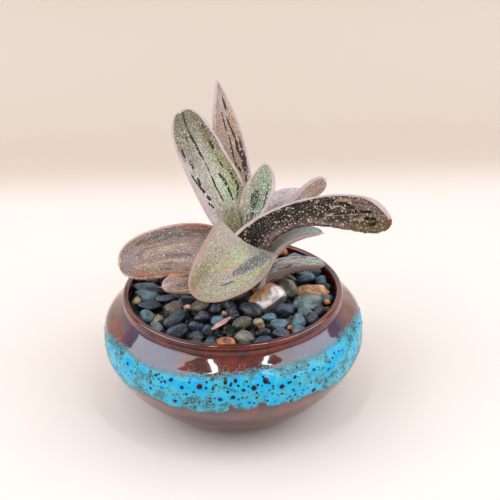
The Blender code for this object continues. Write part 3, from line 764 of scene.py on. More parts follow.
def add_sheath(leaf, s, half, thick):
    """Puts the sheath before the leaf's rings, a narrow foot drawn in towards the stem: returns all rings
    with their centres and their directions across and up."""
    centre, ahead, across, up = leaf_path(leaf, s)
    drawn = np.array([*STEM_PLACE, 0.0]) * SHEATH_LEAN + np.array(leaf["foot"], float) * (1 - SHEATH_LEAN)
    drawn[2] = SHEATH_FOOT
    fall = np.linspace(0, 1, SHEATH_RINGS, endpoint=False)[:, None]
    centre = np.vstack([drawn + (centre[0] - drawn) * fall, centre])
    widen = SHEATH_WIDTH + (1 - SHEATH_WIDTH) * fall[:, 0]
    half = np.concatenate([half[0] * widen, half])
    thick = np.concatenate([np.full(SHEATH_RINGS, thick[0]), thick])
    s = np.concatenate([np.full(SHEATH_RINGS, 0.0), s])
    across, up = (np.vstack([np.repeat(way[:1], SHEATH_RINGS, axis=0), way]) for way in (across, up))
    return s, half, thick, centre, across, up


def margin_mark(leaf, skin, wander):
    """1 on the smooth margin and 0 on the warty skin. The margin's width is given for both sides of the leaf
    at its foot and its tip, and the margin can be fainter on the underside."""
    looks = leaf["looks"]
    near_foot, near_tip = (np.where(skin.x > 0, *looks["margin"][end]) for end in (0, -1))
    width = near_foot + (near_tip - near_foot) * ease(skin.s, 0.35, 0.9)
    inward = np.minimum((1 - np.abs(skin.x)) * skin.half, np.clip((1 - skin.s) * leaf["length"], 0, 99) * 0.8)
    edge = 1 - ease(inward + 0.25 * wander, 0.55 * width, 1.15 * width + 0.05)
    edge *= ease(width, 0.0, 0.5)
    below = looks.get("margin_below", 1.0)
    edge *= below + (1 - below) * ease(skin.y, -0.6, 0.0)
    return edge


def wart_mark(looks, skin, edge, slow, chance):
    """From 0 beside a wart to 1 on its top: round bumps on a wavering net, fewer where the skin sinks."""
    pitch = looks.get("pitch", 1.3)
    warp = 0.35 * cloud(chance, skin.along / 1.8, skin.girth / 1.8)
    wart = np.clip(bumps(chance, skin.along / pitch + 1 + warp, skin.girth / pitch + 1 + warp,
                         looks.get("share", 0.4), 0.20, 0.34), 0, 1)
    wart *= (1 - edge) * ease(slow, -1.2, -0.1)
    wart *= 1 - ease(skin.s, 0.985, 1.0)
    return wart


def dark_mark(leaf, skin, edge, wander, chance):
    """1 on dark blotches and painted strokes and 0 beside them."""
    looks = leaf["looks"]
    dark = looks.get("blotches", 0.0) * ease(cloud(chance, skin.along / 5.0, skin.girth / 1.4), 0.25, 0.75)
    for shown, strokes in ((skin.upper, "strokes"), (~skin.upper, "strokes_under")):
        for width, corners in looks.get(strokes, []):
            dark = np.maximum(dark, stroke_share(width, corners, leaf, skin, wander) * shown)
    return dark * (1 - 0.8 * edge)


def ground_colour(leaf, skin, wander):
    """The skin's ground: painted places spread over each face, broad painted bands on the upper one, and the
    tip's own colour."""
    looks = leaf["looks"]
    above, under = (spread(looks[face], skin.s, skin.x) for face in ("upper", "under"))
    ground = np.where(skin.upper[..., None], above, under)
    for colour, width, corners in looks.get("bands", []):
        share = stroke_share(width, corners, leaf, skin, 3 * wander) * skin.upper
        ground = ground + share[..., None] * (np.array(colour[:3]) - ground)
    tip = ease(skin.s, 1 - 3.0 / leaf["length"], 1.0)[..., None]
    return ground * (1 - tip) + np.array(looks.get("point", RUST)[:3]) * tip


def skin_relief(leaf, skin, wart, edge, slow, chance):
    """How far in millimetres the skin stands out from the plain leaf: slow swells, warts, the margin's bead,
    low lengthwise ridges and a rough margin where the leaf has one."""
    looks = leaf["looks"]
    lift = SLOW_SWELL * slow + looks.get("wart_height", 0.14) * wart ** 0.8 + MARGIN_BEAD * edge
    lift += looks.get("ridge", 0.05) * cloud(chance, skin.along / 18, skin.girth / 1.7) * (1 - edge)
    tooth = np.where(skin.x > 0, *looks.get("rough_margin", (0.0, 0.0))) * ease(np.abs(skin.x), 0.86, 0.97)
    lift += tooth * cloud(chance, skin.along / 0.9, skin.girth / 2.5)
    lift *= ease((1 - skin.s) * leaf["length"] + MUCRO, 0.0, 2.5)
    return lift


def outward_normals(points, centre):
    """Each point's normal, across its neighbours on the rings and turned away from the spine."""
    ringwise = np.roll(points, -1, axis=1) - np.roll(points, 1, axis=1)
    normal = np.cross(np.gradient(points, axis=0), ringwise)
    normal /= np.linalg.norm(normal, axis=-1)[..., None] + 1e-9
    return normal * np.sign(((points - centre[:, None]) * normal).sum(-1).sum())


def capped_tube(rings, around):
    """Faces of rings joined one to the next, and of the two fans that close the first and the last ring to
    the two points that follow all rings."""
    corner = np.arange(around)
    following = (corner + 1) % around
    last = (rings - 1) * around
    first_cap = np.column_stack([following, corner, np.full(around, rings * around)])
    last_cap = np.column_stack([last + corner, last + following, np.full(around, rings * around + 1)])
    return closed_rings(rings, around)[:last], np.vstack([first_cap, last_cap])


def grow_leaf(leaf, seed):
    """Lofts a leaf: at each s along its spine stands a flattened ring with a hollow upper face. Warts, ridges
    and the margin's bead move its points along the surface's own normal."""
    chance = np.random.default_rng(seed)
    looks = leaf["looks"]
    s, half, thick = leaf_stations(leaf)
    x, y, girth = leaf_ring(leaf, half)
    s, half, thick, centre, across, up = add_sheath(leaf, s, half, thick)
    half = half[:, None]
    along = np.concatenate([[0], np.cumsum(np.linalg.norm(np.diff(centre, axis=0), axis=1))])
    along, girth = np.meshgrid(along, girth, indexing="ij")
    (big_s, big_x), (_, big_y) = (np.meshgrid(s, places, indexing="ij") for places in (x, y))
    skin = SimpleNamespace(s=big_s, x=big_x, y=big_y, half=half, upper=big_y > 0, along=along, girth=girth)
    side = skin.x * half
    rise = 0.5 * thick[:, None] * skin.y + leaf["hollow"] * half * skin.x ** 2
    points = centre[:, None] + across[:, None] * side[..., None] + up[:, None] * rise[..., None]

    wander = cloud(chance, along / 2.5, girth / 2.5)
    edge = margin_mark(leaf, skin, wander)
    slow = cloud(chance, along / 9, girth / 9)
    wart = wart_mark(looks, skin, edge, slow, chance)
    dark = dark_mark(leaf, skin, edge, wander, chance)
    colours = ground_colour(leaf, skin, wander).reshape(-1, 3)
    lift = skin_relief(leaf, skin, wart, edge, slow, chance)
    points += outward_normals(points, centre) * lift[..., None]

    end = leaf_path(leaf, np.array([1 + MUCRO / leaf["length"]]))[0]
    body = np.vstack([points.reshape(-1, 3), centre[:1], end])
    marks = {"wart": wart, "dark": dark, "edge": edge}
    marks = {title: np.append(values.ravel(), [0.0, 0.0]) for title, values in marks.items()}
    marks["ground"] = np.vstack([colours, colours[:1], colours[-1:]])
    finish = skin_finish(leaf["name"] + "_skin", looks)
    piece = new_piece("warty_" + leaf["name"], body, capped_tube(len(s), len(x)), finish, **marks)
    flat = np.column_stack([np.append(girth.ravel(), [0, 0]), np.append(along.ravel(), [0, along[-1, 0]])])
    layer = piece.data.uv_layers.new(name="skin")
    corners = np.zeros(len(piece.data.loops), np.int32)
    piece.data.loops.foreach_get("vertex_index", corners)
    layer.data.foreach_set("uv", (SKIN_MAP * flat)[corners].astype(np.float32).ravel())
    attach(piece, "root")
    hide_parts(leaf["name"])


LILAC = paint(208, 188, 192)
PINK = paint(214, 176, 168)
SHELL = paint(200, 176, 150)
ROSE = paint(182, 150, 134)
MAUVE = paint(172, 142, 132)
DUSK = paint(146, 124, 120)
SAGE = paint(112, 132, 110)
PALE_SAGE = paint(148, 160, 136)
OLIVE = paint(124, 112, 62)
DEEP_OLIVE = paint(100, 90, 50)
DRAB = paint(122, 116, 100)
BARK_OLIVE = paint(84, 72, 50)
ASH = paint(182, 174, 166)
MOSS_PALE = paint(206, 222, 192)
GREEN_OLIVE = paint(142, 142, 96)
SOFT_GREEN = paint(172, 196, 148)
SOFT_LIME = paint(176, 184, 130)
LIME = paint(164, 184, 124)
GREY_BEIGE = paint(166, 158, 138)
SLATE = paint(92, 98, 112)
BLUE_SLATE = paint(92, 110, 116)
MINT = paint(206, 226, 216)
PEARL = paint(216, 208, 218)
# Painted light: a near white for the shaded upper face of leaf_right_lower
PAINTED_LIGHT_FROST = paint(218, 242, 246)
BLACK_GREEN = paint(26, 38, 24)
BOTTLE_GREEN = paint(20, 52, 36)
NEAR_BLACK = paint(20, 14, 13)
INKY = paint(15, 14, 18)
SAND = paint(222, 196, 172)
PLUM_BLACK = paint(58, 30, 38)
TAN = paint(176, 146, 118)
CREAM = paint(228, 214, 194)
WARM_WHITE = paint(238, 234, 224)
RUST = paint(178, 104, 56)
OCHRE = paint(178, 142, 98)
GREY_LILAC = paint(164, 156, 164)
FAWN = paint(192, 166, 148)
TAUPE = paint(150, 130, 122)
SLATE_BROWN = paint(104, 92, 92)

# foot is the spine's start and thick the greatest plain thickness in millimetres. heading, rise and turn are
# degrees, and widths millimetres, at even steps from the foot to the tip. A place on a leaf is (s, x), with s
# from 0 at the foot to 1 at the tip and x from -1 to 1 across it. Bands and strokes are a width and corners.
# The margin is its width on both sides, at the foot and at the tip.
LEAVES = [
    {"name": "leaf_young", "foot": (6, 5, 67), "heading": (42, 39, 95), "rise": (90, 65, 43),
     "turn": (-2, -4, 0), "length": 54, "widths": (10, 14.5, 19, 15), "thick": 3.6, "blunt": 4.1,
     "hollow": 0.23, "taper": 0.6, "looks": {
        "upper": [(0.1, 0, GREY_BEIGE), (0.42, 0.9, FAWN), (0.52, 0.75, FAWN), (0.64, 0.85, FAWN),
                  (0.45, -0.1, GREEN_OLIVE), (0.6, 0.15, PALE_SAGE), (0.6, -0.4, SAGE), (0.8, 0, SAGE),
                  (0.97, 0, PALE_SAGE), (0.6, -0.95, PALE_SAGE), (0.8, -0.9, PALE_SAGE)],
        "under": [(0.1, 0, OLIVE), (0.5, 0.6, SAGE), (0.5, -0.6, PALE_SAGE), (0.95, 0, PALE_SAGE)],
        "margin": [(1.3, 1.1), (1.1, 1.1)], "rim": LILAC, "wart": WARM_WHITE, "blotch": BOTTLE_GREEN,
        "streak": PALE_SAGE, "dots": 0.55, "dark_dots": 0.75, "point": DUSK,
        "strokes": [(4.4, [(0.73, 0.22), (0.66, 0.1), (0.56, -0.04)]), (2.6, [(0.55, -0.1), (0.4, -0.3)]),
                    (0.8, [(0.8, -0.55), (0.73, -0.62), (0.66, -0.72), (0.57, -0.9)]),
                    (0.6, [(0.5, 0.22), (0.4, 0.0)]), (0.7, [(0.56, -0.45), (0.42, -0.62)]),
                    (0.5, [(0.7, -0.28), (0.6, -0.42)])],
        "strokes_under": [(1.2, [(0.85, 0.1), (0.5, 0.1)]), (0.9, [(0.7, -0.5), (0.4, -0.5)])]}},
    {"name": "leaf_bud", "foot": (1, 6, 68), "heading": (90, 90, 90), "rise": (84, 80, 76),
     "turn": (0, 0, 0), "length": 30, "widths": (8, 9, 9, 7), "thick": 2.6, "blunt": 4.0, "hollow": 0.25,
     "taper": 0.6, "looks": {
        "upper": [(0.2, 0, OLIVE), (0.9, 0, GREEN_OLIVE)],
        "under": [(0.2, 0, OLIVE), (0.9, 0, GREEN_OLIVE)],
        "margin": [(0.5, 0.5)], "rim": GREY_BEIGE, "wart": WARM_WHITE, "blotch": BLACK_GREEN,
        "streak": DUSK, "dots": 0.3, "point": DUSK}},
    {"name": "leaf_right", "foot": (4, -5.5, 69), "heading": (19, -25, -68), "rise": (84, 19, 18),
     "turn": (75, 39, 108), "length": 95, "widths": (24, 14, 15.5, 20.5), "thick": 4.4, "blunt": 7.2,
     "hollow": 0.12, "taper": 0.5, "looks": {
        "upper": [(0.05, 0, NEAR_BLACK), (0.2, 0, NEAR_BLACK), (0.3, 0, NEAR_BLACK), (0.4, 0, NEAR_BLACK),
                  (0.55, 0, NEAR_BLACK), (0.22, 0.7, NEAR_BLACK), (0.45, 0.6, NEAR_BLACK),
                  (0.45, -0.6, NEAR_BLACK), (0.28, -0.97, DUSK), (0.6, -1.0, DUSK), (0.66, 0.2, NEAR_BLACK),
                  (0.75, 0.6, SLATE_BROWN), (0.78, -0.1, PLUM_BLACK), (0.7, -0.5, NEAR_BLACK),
                  (0.78, -0.95, DUSK), (0.84, 0.6, SLATE_BROWN), (0.86, 0.1, DUSK), (0.86, -0.9, OLIVE),
                  (0.96, 0.4, TAUPE), (0.96, -0.5, OLIVE)],
        "under": [(0.1, 0, NEAR_BLACK), (0.8, 0, PLUM_BLACK), (0.96, 0, OLIVE)],
        "bands": [(FAWN, 1.0, [(0.62, -0.45), (0.74, -0.1), (0.88, 0.34)]),
                  (TAN, 0.9, [(0.66, 0.62), (0.76, 0.7), (0.86, 0.72)]),
                  (TAN, 0.8, [(0.76, -0.45), (0.86, -0.15), (0.94, 0.1)]),
                  (FAWN, 0.7, [(0.64, 0.1), (0.72, 0.34), (0.8, 0.48)])],
        "margin": [(2.2, 0.0), (0.7, 0.0)], "rim": LILAC, "wart": SAND, "blotch": INKY, "streak": INKY,
        "streaks": 0.5, "dots": 0.0, "dark_dots": 0.0, "squiggles": 0.6, "pitch": 1.7, "share": 0.56,
        "wart_height": 0.2, "rough_margin": (0.0, 0.3), "gloss": 0.08,
        "strokes": [(1.0, [(0.67, -0.3), (0.78, 0.05), (0.89, 0.32)]), (1.6, [(0.68, 0.4), (0.78, 0.3)]),
                    (1.1, [(0.84, -0.17), (0.92, -0.04)]), (1.0, [(0.86, -0.58), (0.93, -0.25)]),
                    (0.9, [(0.6, 0.5), (0.66, 0.58)]), (1.8, [(0.58, 0.38), (0.65, -0.08)])]}},
    {"name": "leaf_back_left", "foot": (5, 10, 66), "heading": (141, 131, 120), "rise": (93, 50, 53),
     "turn": (-10, -33, -37), "length": 85.5, "widths": (9.5, 22.5, 23, 26), "thick": 4.6, "blunt": 6.1,
     "hollow": 0.15, "taper": 0.5, "looks": {
        "upper": [(0.12, 0, GREY_BEIGE), (0.28, 0, ASH), (0.4, -0.1, MOSS_PALE), (0.34, 0.3, ASH),
                  (0.52, -0.1, MOSS_PALE), (0.44, -0.6, LIME), (0.5, -0.9, OLIVE),
                  (0.62, -0.65, GREEN_OLIVE), (0.78, -0.7, DEEP_OLIVE), (0.9, -0.6, DEEP_OLIVE),
                  (0.97, 0, BARK_OLIVE), (0.92, 0.5, BARK_OLIVE), (0.72, 0.0, ASH), (0.72, 0.4, DRAB),
                  (0.6, 0.4, ASH), (0.6, 0.0, PEARL), (0.6, 0.85, PEARL), (0.45, 0.8, PEARL),
                  (0.82, 0.75, DRAB), (0.86, 0.1, DRAB), (0.5, 0.4, ASH)],
        "under": [(0.1, 0, GREEN_OLIVE), (0.9, 0, SAGE)],
        "margin": [(2.6, 1.4), (1.3, 1.2)], "rim": LILAC, "wart": CREAM, "blotch": BLACK_GREEN,
        "streak": DRAB, "streaks": 0.3, "dots": 0.55,
        "strokes": [(0.5, [(0.98, 0.03), (0.93, 0.06), (0.85, 0.07)]), (1.0, [(0.85, 0.06), (0.73, 0.03)]),
                    (0.8, [(0.74, 0.05), (0.66, 0.03)]), (0.5, [(0.64, 0.03), (0.57, 0.05)]),
                    (0.5, [(0.56, 0.06), (0.49, 0.12), (0.39, 0.1)]), (0.5, [(0.86, -0.72), (0.8, -0.7)]),
                    (1.1, [(0.74, -0.62), (0.68, -0.6)]), (0.6, [(0.62, -0.56), (0.57, -0.55)]),
                    (0.5, [(0.84, 0.3), (0.8, 0.32)]), (0.8, [(0.77, 0.73), (0.72, 0.73)]),
                    (0.8, [(0.61, 0.82), (0.55, 0.76), (0.49, 0.66)]),
                    (0.9, [(0.55, -0.27), (0.49, -0.33), (0.38, -0.29)]),
                    (0.7, [(0.54, -0.71), (0.44, -0.74), (0.37, -0.39)]),
                    (1.1, [(0.5, 0.67), (0.48, 0.65)]), (1.2, [(0.46, 0.62), (0.43, 0.58)]),
                    (0.8, [(0.42, 0.7), (0.38, 0.6)]), (0.9, [(0.69, 0.6), (0.64, 0.62)]),
                    (1.0, [(0.58, 0.64), (0.53, 0.66)])],
        "strokes_under": [(1.4, [(0.88, -0.2), (0.62, -0.25)]), (1.0, [(0.8, 0.4), (0.5, 0.45)]),
                          (0.8, [(0.55, 0.0), (0.3, 0.05)])]}},
    {"name": "leaf_front", "foot": (5, -7, 66), "heading": (-68, -106, -138), "rise": (98, 14, -10),
     "turn": (21, -43, -67), "length": 77, "widths": (29, 29, 32, 28), "thick": 5.0, "blunt": 4.8,
     "hollow": 0.09, "taper": 0.5, "looks": {
        "upper": [(0.15, 0, LILAC), (0.4, -0.6, LILAC), (0.55, -0.3, ASH), (0.48, -0.5, PEARL),
                  (0.68, -0.6, ASH), (0.75, -0.3, GREY_BEIGE), (0.9, -0.4, OLIVE), (0.62, 0.1, MOSS_PALE),
                  (0.7, 0.15, ASH), (0.8, 0, GREY_BEIGE), (0.5, 0.3, GREY_LILAC), (0.45, 0.65, BLUE_SLATE),
                  (0.96, 0.2, GREY_BEIGE)],
        "under": [(0.1, 0, SLATE), (0.6, 0.5, DUSK), (0.9, 0, MAUVE)],
        "bands": [(SOFT_GREEN, 3.0, [(0.5, -0.02), (0.58, 0.05), (0.66, 0.06)]),
                  (SOFT_LIME, 1.2, [(0.66, -0.02), (0.76, -0.12), (0.85, -0.22)]),
                  (SHELL, 1.6, [(0.6, 0.26), (0.7, 0.2), (0.84, 0.05)]),
                  (BLUE_SLATE, 3.6, [(0.36, 0.68), (0.46, 0.6), (0.54, 0.5), (0.64, 0.42), (0.74, 0.35)]),
                  (GREY_LILAC, 1.6, [(0.72, 0.38), (0.8, 0.28), (0.88, 0.12)]),
                  (SOFT_LIME, 1.6, [(0.4, 0.86), (0.54, 0.78), (0.64, 0.72), (0.74, 0.68), (0.86, 0.62)])],
        "margin": [(1.3, 1.4), (1.2, 0.7)], "margin_below": 0.7, "rim": ROSE, "wart": CREAM,
        "blotch": SLATE, "streak": GREY_BEIGE, "streaks": 0.4, "dots": 0.45, "share": 0.3,
        "squiggles": 0.45,
        "strokes": [(0.7, [(0.84, 0.44), (0.76, 0.52)]), (0.8, [(0.43, 0.54), (0.46, 0.68)]),
                    (0.8, [(0.48, 0.48), (0.51, 0.6)]), (0.8, [(0.54, 0.42), (0.56, 0.56)]),
                    (0.7, [(0.6, 0.36), (0.62, 0.5)]), (0.7, [(0.66, 0.32), (0.68, 0.44)]),
                    (0.7, [(0.72, 0.28), (0.74, 0.38)])],
        "strokes_under": [(1.2, [(0.8, 0.1), (0.5, 0.2)]), (0.9, [(0.7, -0.5), (0.4, -0.4)])]}},
    {"name": "leaf_tall", "foot": (7, 13, 64), "heading": (99, 106, 109), "rise": (60, 62, 60),
     "turn": (0, 3, 1), "length": 95.5, "widths": (13, 17, 17.5, 12), "thick": 4.4, "blunt": 5.8,
     "hollow": 0.15, "taper": 0.9, "looks": {
        "upper": [(0.1, 0, GREEN_OLIVE), (0.38, -0.3, GREEN_OLIVE), (0.48, 0, TAN), (0.58, 0.4, MAUVE),
                  (0.66, 0.1, MAUVE), (0.66, -0.5, TAN), (0.76, -0.5, OCHRE), (0.75, 0.5, MAUVE),
                  (0.86, 0.1, LILAC), (0.85, -0.7, LILAC), (0.97, 0, DUSK), (0.5, -0.9, LILAC)],
        "under": [(0.1, 0, GREEN_OLIVE), (0.9, 0, MAUVE)],
        "bands": [(SLATE, 2.0, [(0.53, -0.72), (0.47, -0.66)])],
        "margin": [(1.1, 1.3), (0.9, 1.2)], "rim": LILAC, "wart": CREAM, "blotch": PLUM_BLACK,
        "streak": MAUVE, "streaks": 0.45, "dots": 0.35, "point": DUSK,
        "strokes": [(0.7, [(0.9, -0.18), (0.83, -0.21)]),
                    (0.7, [(0.79, -0.1), (0.72, -0.3), (0.66, -0.43)]),
                    (1.3, [(0.67, -0.42), (0.61, -0.43), (0.56, -0.6)]),
                    (0.5, [(0.7, -0.02), (0.61, -0.06), (0.53, -0.12)]),
                    (0.7, [(0.68, -0.66), (0.62, -0.68), (0.56, -0.76)]),
                    (2.4, [(0.6, -0.56), (0.56, -0.68), (0.5, -0.62)]), (0.9, [(0.55, -0.1), (0.49, -0.4)]),
                    (0.6, [(0.48, -0.64), (0.43, -0.6)]), (0.4, [(0.82, 0.25), (0.72, 0.1)])],
        "strokes_under": [(1.2, [(0.85, 0.1), (0.6, 0.05)]), (0.9, [(0.7, -0.4), (0.45, -0.35)]),
                          (1.0, [(0.55, 0.5), (0.35, 0.45)])]}},
    {"name": "leaf_spoon", "foot": (10, 9, 62), "heading": (48, 31, 16), "rise": (74, 37, 30),
     "turn": (60, 83, 86), "length": 62, "widths": (10, 11.5, 7, 18), "thick": 4.0, "blunt": 5.2,
     "hollow": 0.14, "taper": 0.5, "looks": {
        "upper": [(0.1, 0, GREY_BEIGE), (0.7, 0, LILAC), (0.85, 0.2, MAUVE), (0.8, -0.5, GREEN_OLIVE),
                  (0.97, 0.3, MAUVE)],
        "under": [(0.1, 0, GREY_BEIGE), (0.9, 0, LILAC)],
        "margin": [(1.2, 0.8)], "rim": LILAC, "wart": CREAM, "blotch": DUSK, "streak": MAUVE,
        "streaks": 0.3, "dots": 0.35, "share": 0.15, "point": DUSK}},
    {"name": "leaf_back_right", "foot": (9, 10, 63), "heading": (67, 45, 21), "rise": (60, 24, -6),
     "turn": (22, 20, 18), "length": 60, "widths": (15, 20, 22.5, 20), "thick": 4.8, "blunt": 5.0,
     "hollow": 0.16, "taper": 0.5, "looks": {
        "upper": [(0.1, 0, GREY_BEIGE), (0.5, 0, GREY_LILAC), (0.7, 0.6, PEARL), (0.95, 0, PEARL)],
        "under": [(0.1, 0, GREY_BEIGE), (0.9, 0, MAUVE)],
        "margin": [(0.8, 1.0)], "rim": GREY_LILAC, "wart": CREAM, "blotch": SLATE, "streak": GREY_LILAC,
        "dots": 0.25, "share": 0.2, "ridge": 0.12, "point": DUSK}},
    {"name": "leaf_left", "foot": (2, 7, 64.5), "heading": (166, 177, 186), "rise": (48, -5, -6),
     "turn": (-30, -37, -50), "length": 62, "widths": (23, 29, 27.5, 28), "thick": 5.2, "blunt": 5.7,
     "hollow": 0.18, "taper": 0.5, "looks": {
        "upper": [(0.1, 0, GREY_LILAC), (0.35, -0.1, MAUVE), (0.45, 0.2, GREY_LILAC),
                  (0.6, -0.2, GREY_LILAC), (0.6, 0.4, DUSK), (0.75, 0, MAUVE), (0.9, -0.2, GREY_LILAC),
                  (0.92, 0.4, DUSK), (0.7, 0.75, DUSK), (0.85, -0.7, TAUPE), (0.45, -0.75, SLATE_BROWN),
                  (0.6, -0.6, SLATE_BROWN)],
        "under": [(0.1, 0, GREY_LILAC), (0.9, 0, MAUVE)],
        "bands": [(SLATE_BROWN, 4.4, [(0.34, -0.6), (0.44, -0.62), (0.54, -0.6)]),
                  (SLATE_BROWN, 3.2, [(0.5, -0.62), (0.62, -0.6), (0.72, -0.56), (0.82, -0.62)]),
                  (RUST, 1.6, [(0.46, -0.8), (0.38, -0.84), (0.29, -0.74)]),
                  (OCHRE, 0.9, [(0.82, -0.48), (0.73, -0.38), (0.62, -0.32)]),
                  (FAWN, 2.6, [(0.84, 0.02), (0.7, -0.06), (0.56, -0.12), (0.36, -0.18)]),
                  (FAWN, 1.8, [(0.86, 0.4), (0.68, 0.42), (0.52, 0.44), (0.38, 0.48)]),
                  (SLATE_BROWN, 1.4, [(0.6, 0.2), (0.46, 0.24), (0.38, 0.26)]),
                  (OCHRE, 1.0, [(0.75, 0.56), (0.67, 0.6), (0.6, 0.6)]),
                  (OCHRE, 1.0, [(0.5, 0.66), (0.4, 0.58)]),
                  (RUST, 1.8, [(0.9, 0.66), (0.75, 0.9), (0.57, 0.95), (0.38, 0.86)])],
        "margin": [(0.5, 1.5), (0.7, 1.6)], "rim": PINK, "wart": CREAM, "blotch": SLATE_BROWN,
        "streak": TAUPE, "streaks": 0.8, "dots": 0.2, "share": 0.14, "blotches": 0.45,
        "rough_margin": (0.42, 0.0), "point": OLIVE,
        "strokes": [(0.9, [(0.66, 0.7), (0.56, 0.76)]), (0.7, [(0.46, -0.72), (0.36, -0.66)]),
                    (0.8, [(0.72, -0.64), (0.6, -0.66)])],
        "strokes_under": [(1.6, [(0.85, 0.2), (0.6, 0.3)]), (1.1, [(0.7, -0.4), (0.45, -0.35)])]}},
    # The upper face of leaf_right_lower is painted pearl and near white, as painted light: it lies in the
    # shade of leaf_right
    {"name": "leaf_right_lower", "foot": (11, -1, 60), "heading": (14, -17, -14), "rise": (68, 48, -2),
     "turn": (36, 17, 14), "length": 48, "widths": (11.5, 13.5, 12.5, 10.5), "thick": 3.8, "blunt": 3.0,
     "hollow": 0.28, "taper": 0.5, "looks": {
        "upper": [(0.1, 0, PEARL), (0.5, 0, PEARL), (0.66, 0, PAINTED_LIGHT_FROST), (0.78, 0, PAINTED_LIGHT_FROST), (0.97, 0, PAINTED_LIGHT_FROST)],
        "under": [(0.1, 0, MAUVE), (0.6, 0, MAUVE), (0.9, 0, SAGE)],
        "margin": [(0.8, 0.9)], "margin_below": 0.3, "rim": LILAC, "wart": WARM_WHITE, "blotch": SLATE,
        "streak": PAINTED_LIGHT_FROST, "dots": 0.8, "share": 0.2, "point": SAGE}},
    {"name": "leaf_low_right", "foot": (9, 0, 57.5), "heading": (25, 8, 2), "rise": (38, 11, -5),
     "turn": (0, -5, 10), "length": 40, "widths": (12, 15, 13, 10), "thick": 5.0, "blunt": 4.9,
     "hollow": 0.22, "taper": 0.5, "looks": {
        "upper": [(0.1, 0, GREY_LILAC), (0.35, 0, GREY_LILAC), (0.5, 0.3, PEARL), (0.6, 0.2, PEARL),
                  (0.75, 0.1, MINT), (0.9, 0, MINT), (0.6, -0.8, PEARL)],
        "under": [(0.1, 0, MAUVE), (0.5, 0, DUSK), (0.75, 0, SLATE_BROWN), (0.95, 0, DUSK)],
        "margin": [(0.7, 0.8), (0.7, 0.6)], "margin_below": 0.1, "rim": DUSK, "wart": WARM_WHITE,
        "blotch": INKY, "streak": SLATE, "streaks": 0.9, "dots": 0.7, "dark_dots": 0.6, "share": 0.4,
        "blotches": 0.8, "point": PINK}},
    {"name": "leaf_low_left", "foot": (1, 0, 57), "heading": (-167, -166, -164), "rise": (27, 11, 0),
     "turn": (-5, -9, -24), "length": 37, "widths": (12, 15, 15, 15.5), "thick": 5.0, "blunt": 4.4,
     "hollow": 0.15, "taper": 0.5, "looks": {
        "upper": [(0.1, 0, PLUM_BLACK), (0.5, 0, PLUM_BLACK), (0.7, 0.5, PLUM_BLACK), (0.78, -0.4, MAUVE),
                  (0.86, -0.3, ROSE), (0.88, 0.8, MAUVE), (0.97, 0, LILAC)],
        "under": [(0.1, 0, DUSK), (0.9, 0, LILAC)],
        "margin": [(1.0, 0.3), (0.3, 1.1)], "rim": PINK, "wart": WARM_WHITE, "blotch": NEAR_BLACK,
        "streak": TAUPE, "dots": 0.35, "dark_dots": 0.5, "share": 0.4, "blotches": 0.4, "point": PINK}},
]

for number, leaf in enumerate(LEAVES):
    grow_leaf(leaf, LEAF_SEED + number)


# The gravel
# Dark river pebbles worn round, laid by hand on the mix, with crushed stone and grit fallen between them.
# Nothing holds them but their weight.
GRAVEL_SEED = 11
GRAVEL_REACH = 50.3
GRAVEL_ROUNDS = ((5.6, 200), (4.6, 300), (3.8, 400))
GRAVEL_SPACING = 0.80
PEBBLE_LEVEL = 53.2
PEBBLE_TOPS = 57.0
PEBBLE_LEAN = 14.0
BED_LEVEL = 50.6
BED_RADIUS = 51.8
BED_FOOT = 46.0
GRIT_COUNT = 430
BED_CORE = 0.8
BED_RINGS, BED_STEPS = 56, 200
BED_PITCH = 2.6
BED_CRUSH = 1.3
PEBBLE_RINGS, PEBBLE_STEPS = 20, 30
GRIT_RINGS, GRIT_STEPS = 6, 9
STONE_PLANES = 11
PLANE_REACH = (0.62, 0.98)
STONE_FILL = 0.56
STONE_LUMPS = 0.018
PEBBLE_WEARS = (60.0, 28.0, 11.0)
GRIT_WEAR = 18.0

SLATE_NAVY = paint(28, 52, 76)
INK = paint(14, 27, 42)
BLUE_GREY = paint(80, 118, 138)
GREY_GREEN = paint(82, 106, 114)
SPECKLED_GREY = paint(112, 108, 102)
SANDY = paint(172, 146, 110)
BROWN = paint(110, 80, 56)
UMBER = paint(92, 80, 70)
CRUMBLY = paint(104, 98, 86)
ORANGE = paint(214, 132, 60)
CHALK = paint(224, 210, 202)
SHELL_PINK = paint(206, 160, 148)

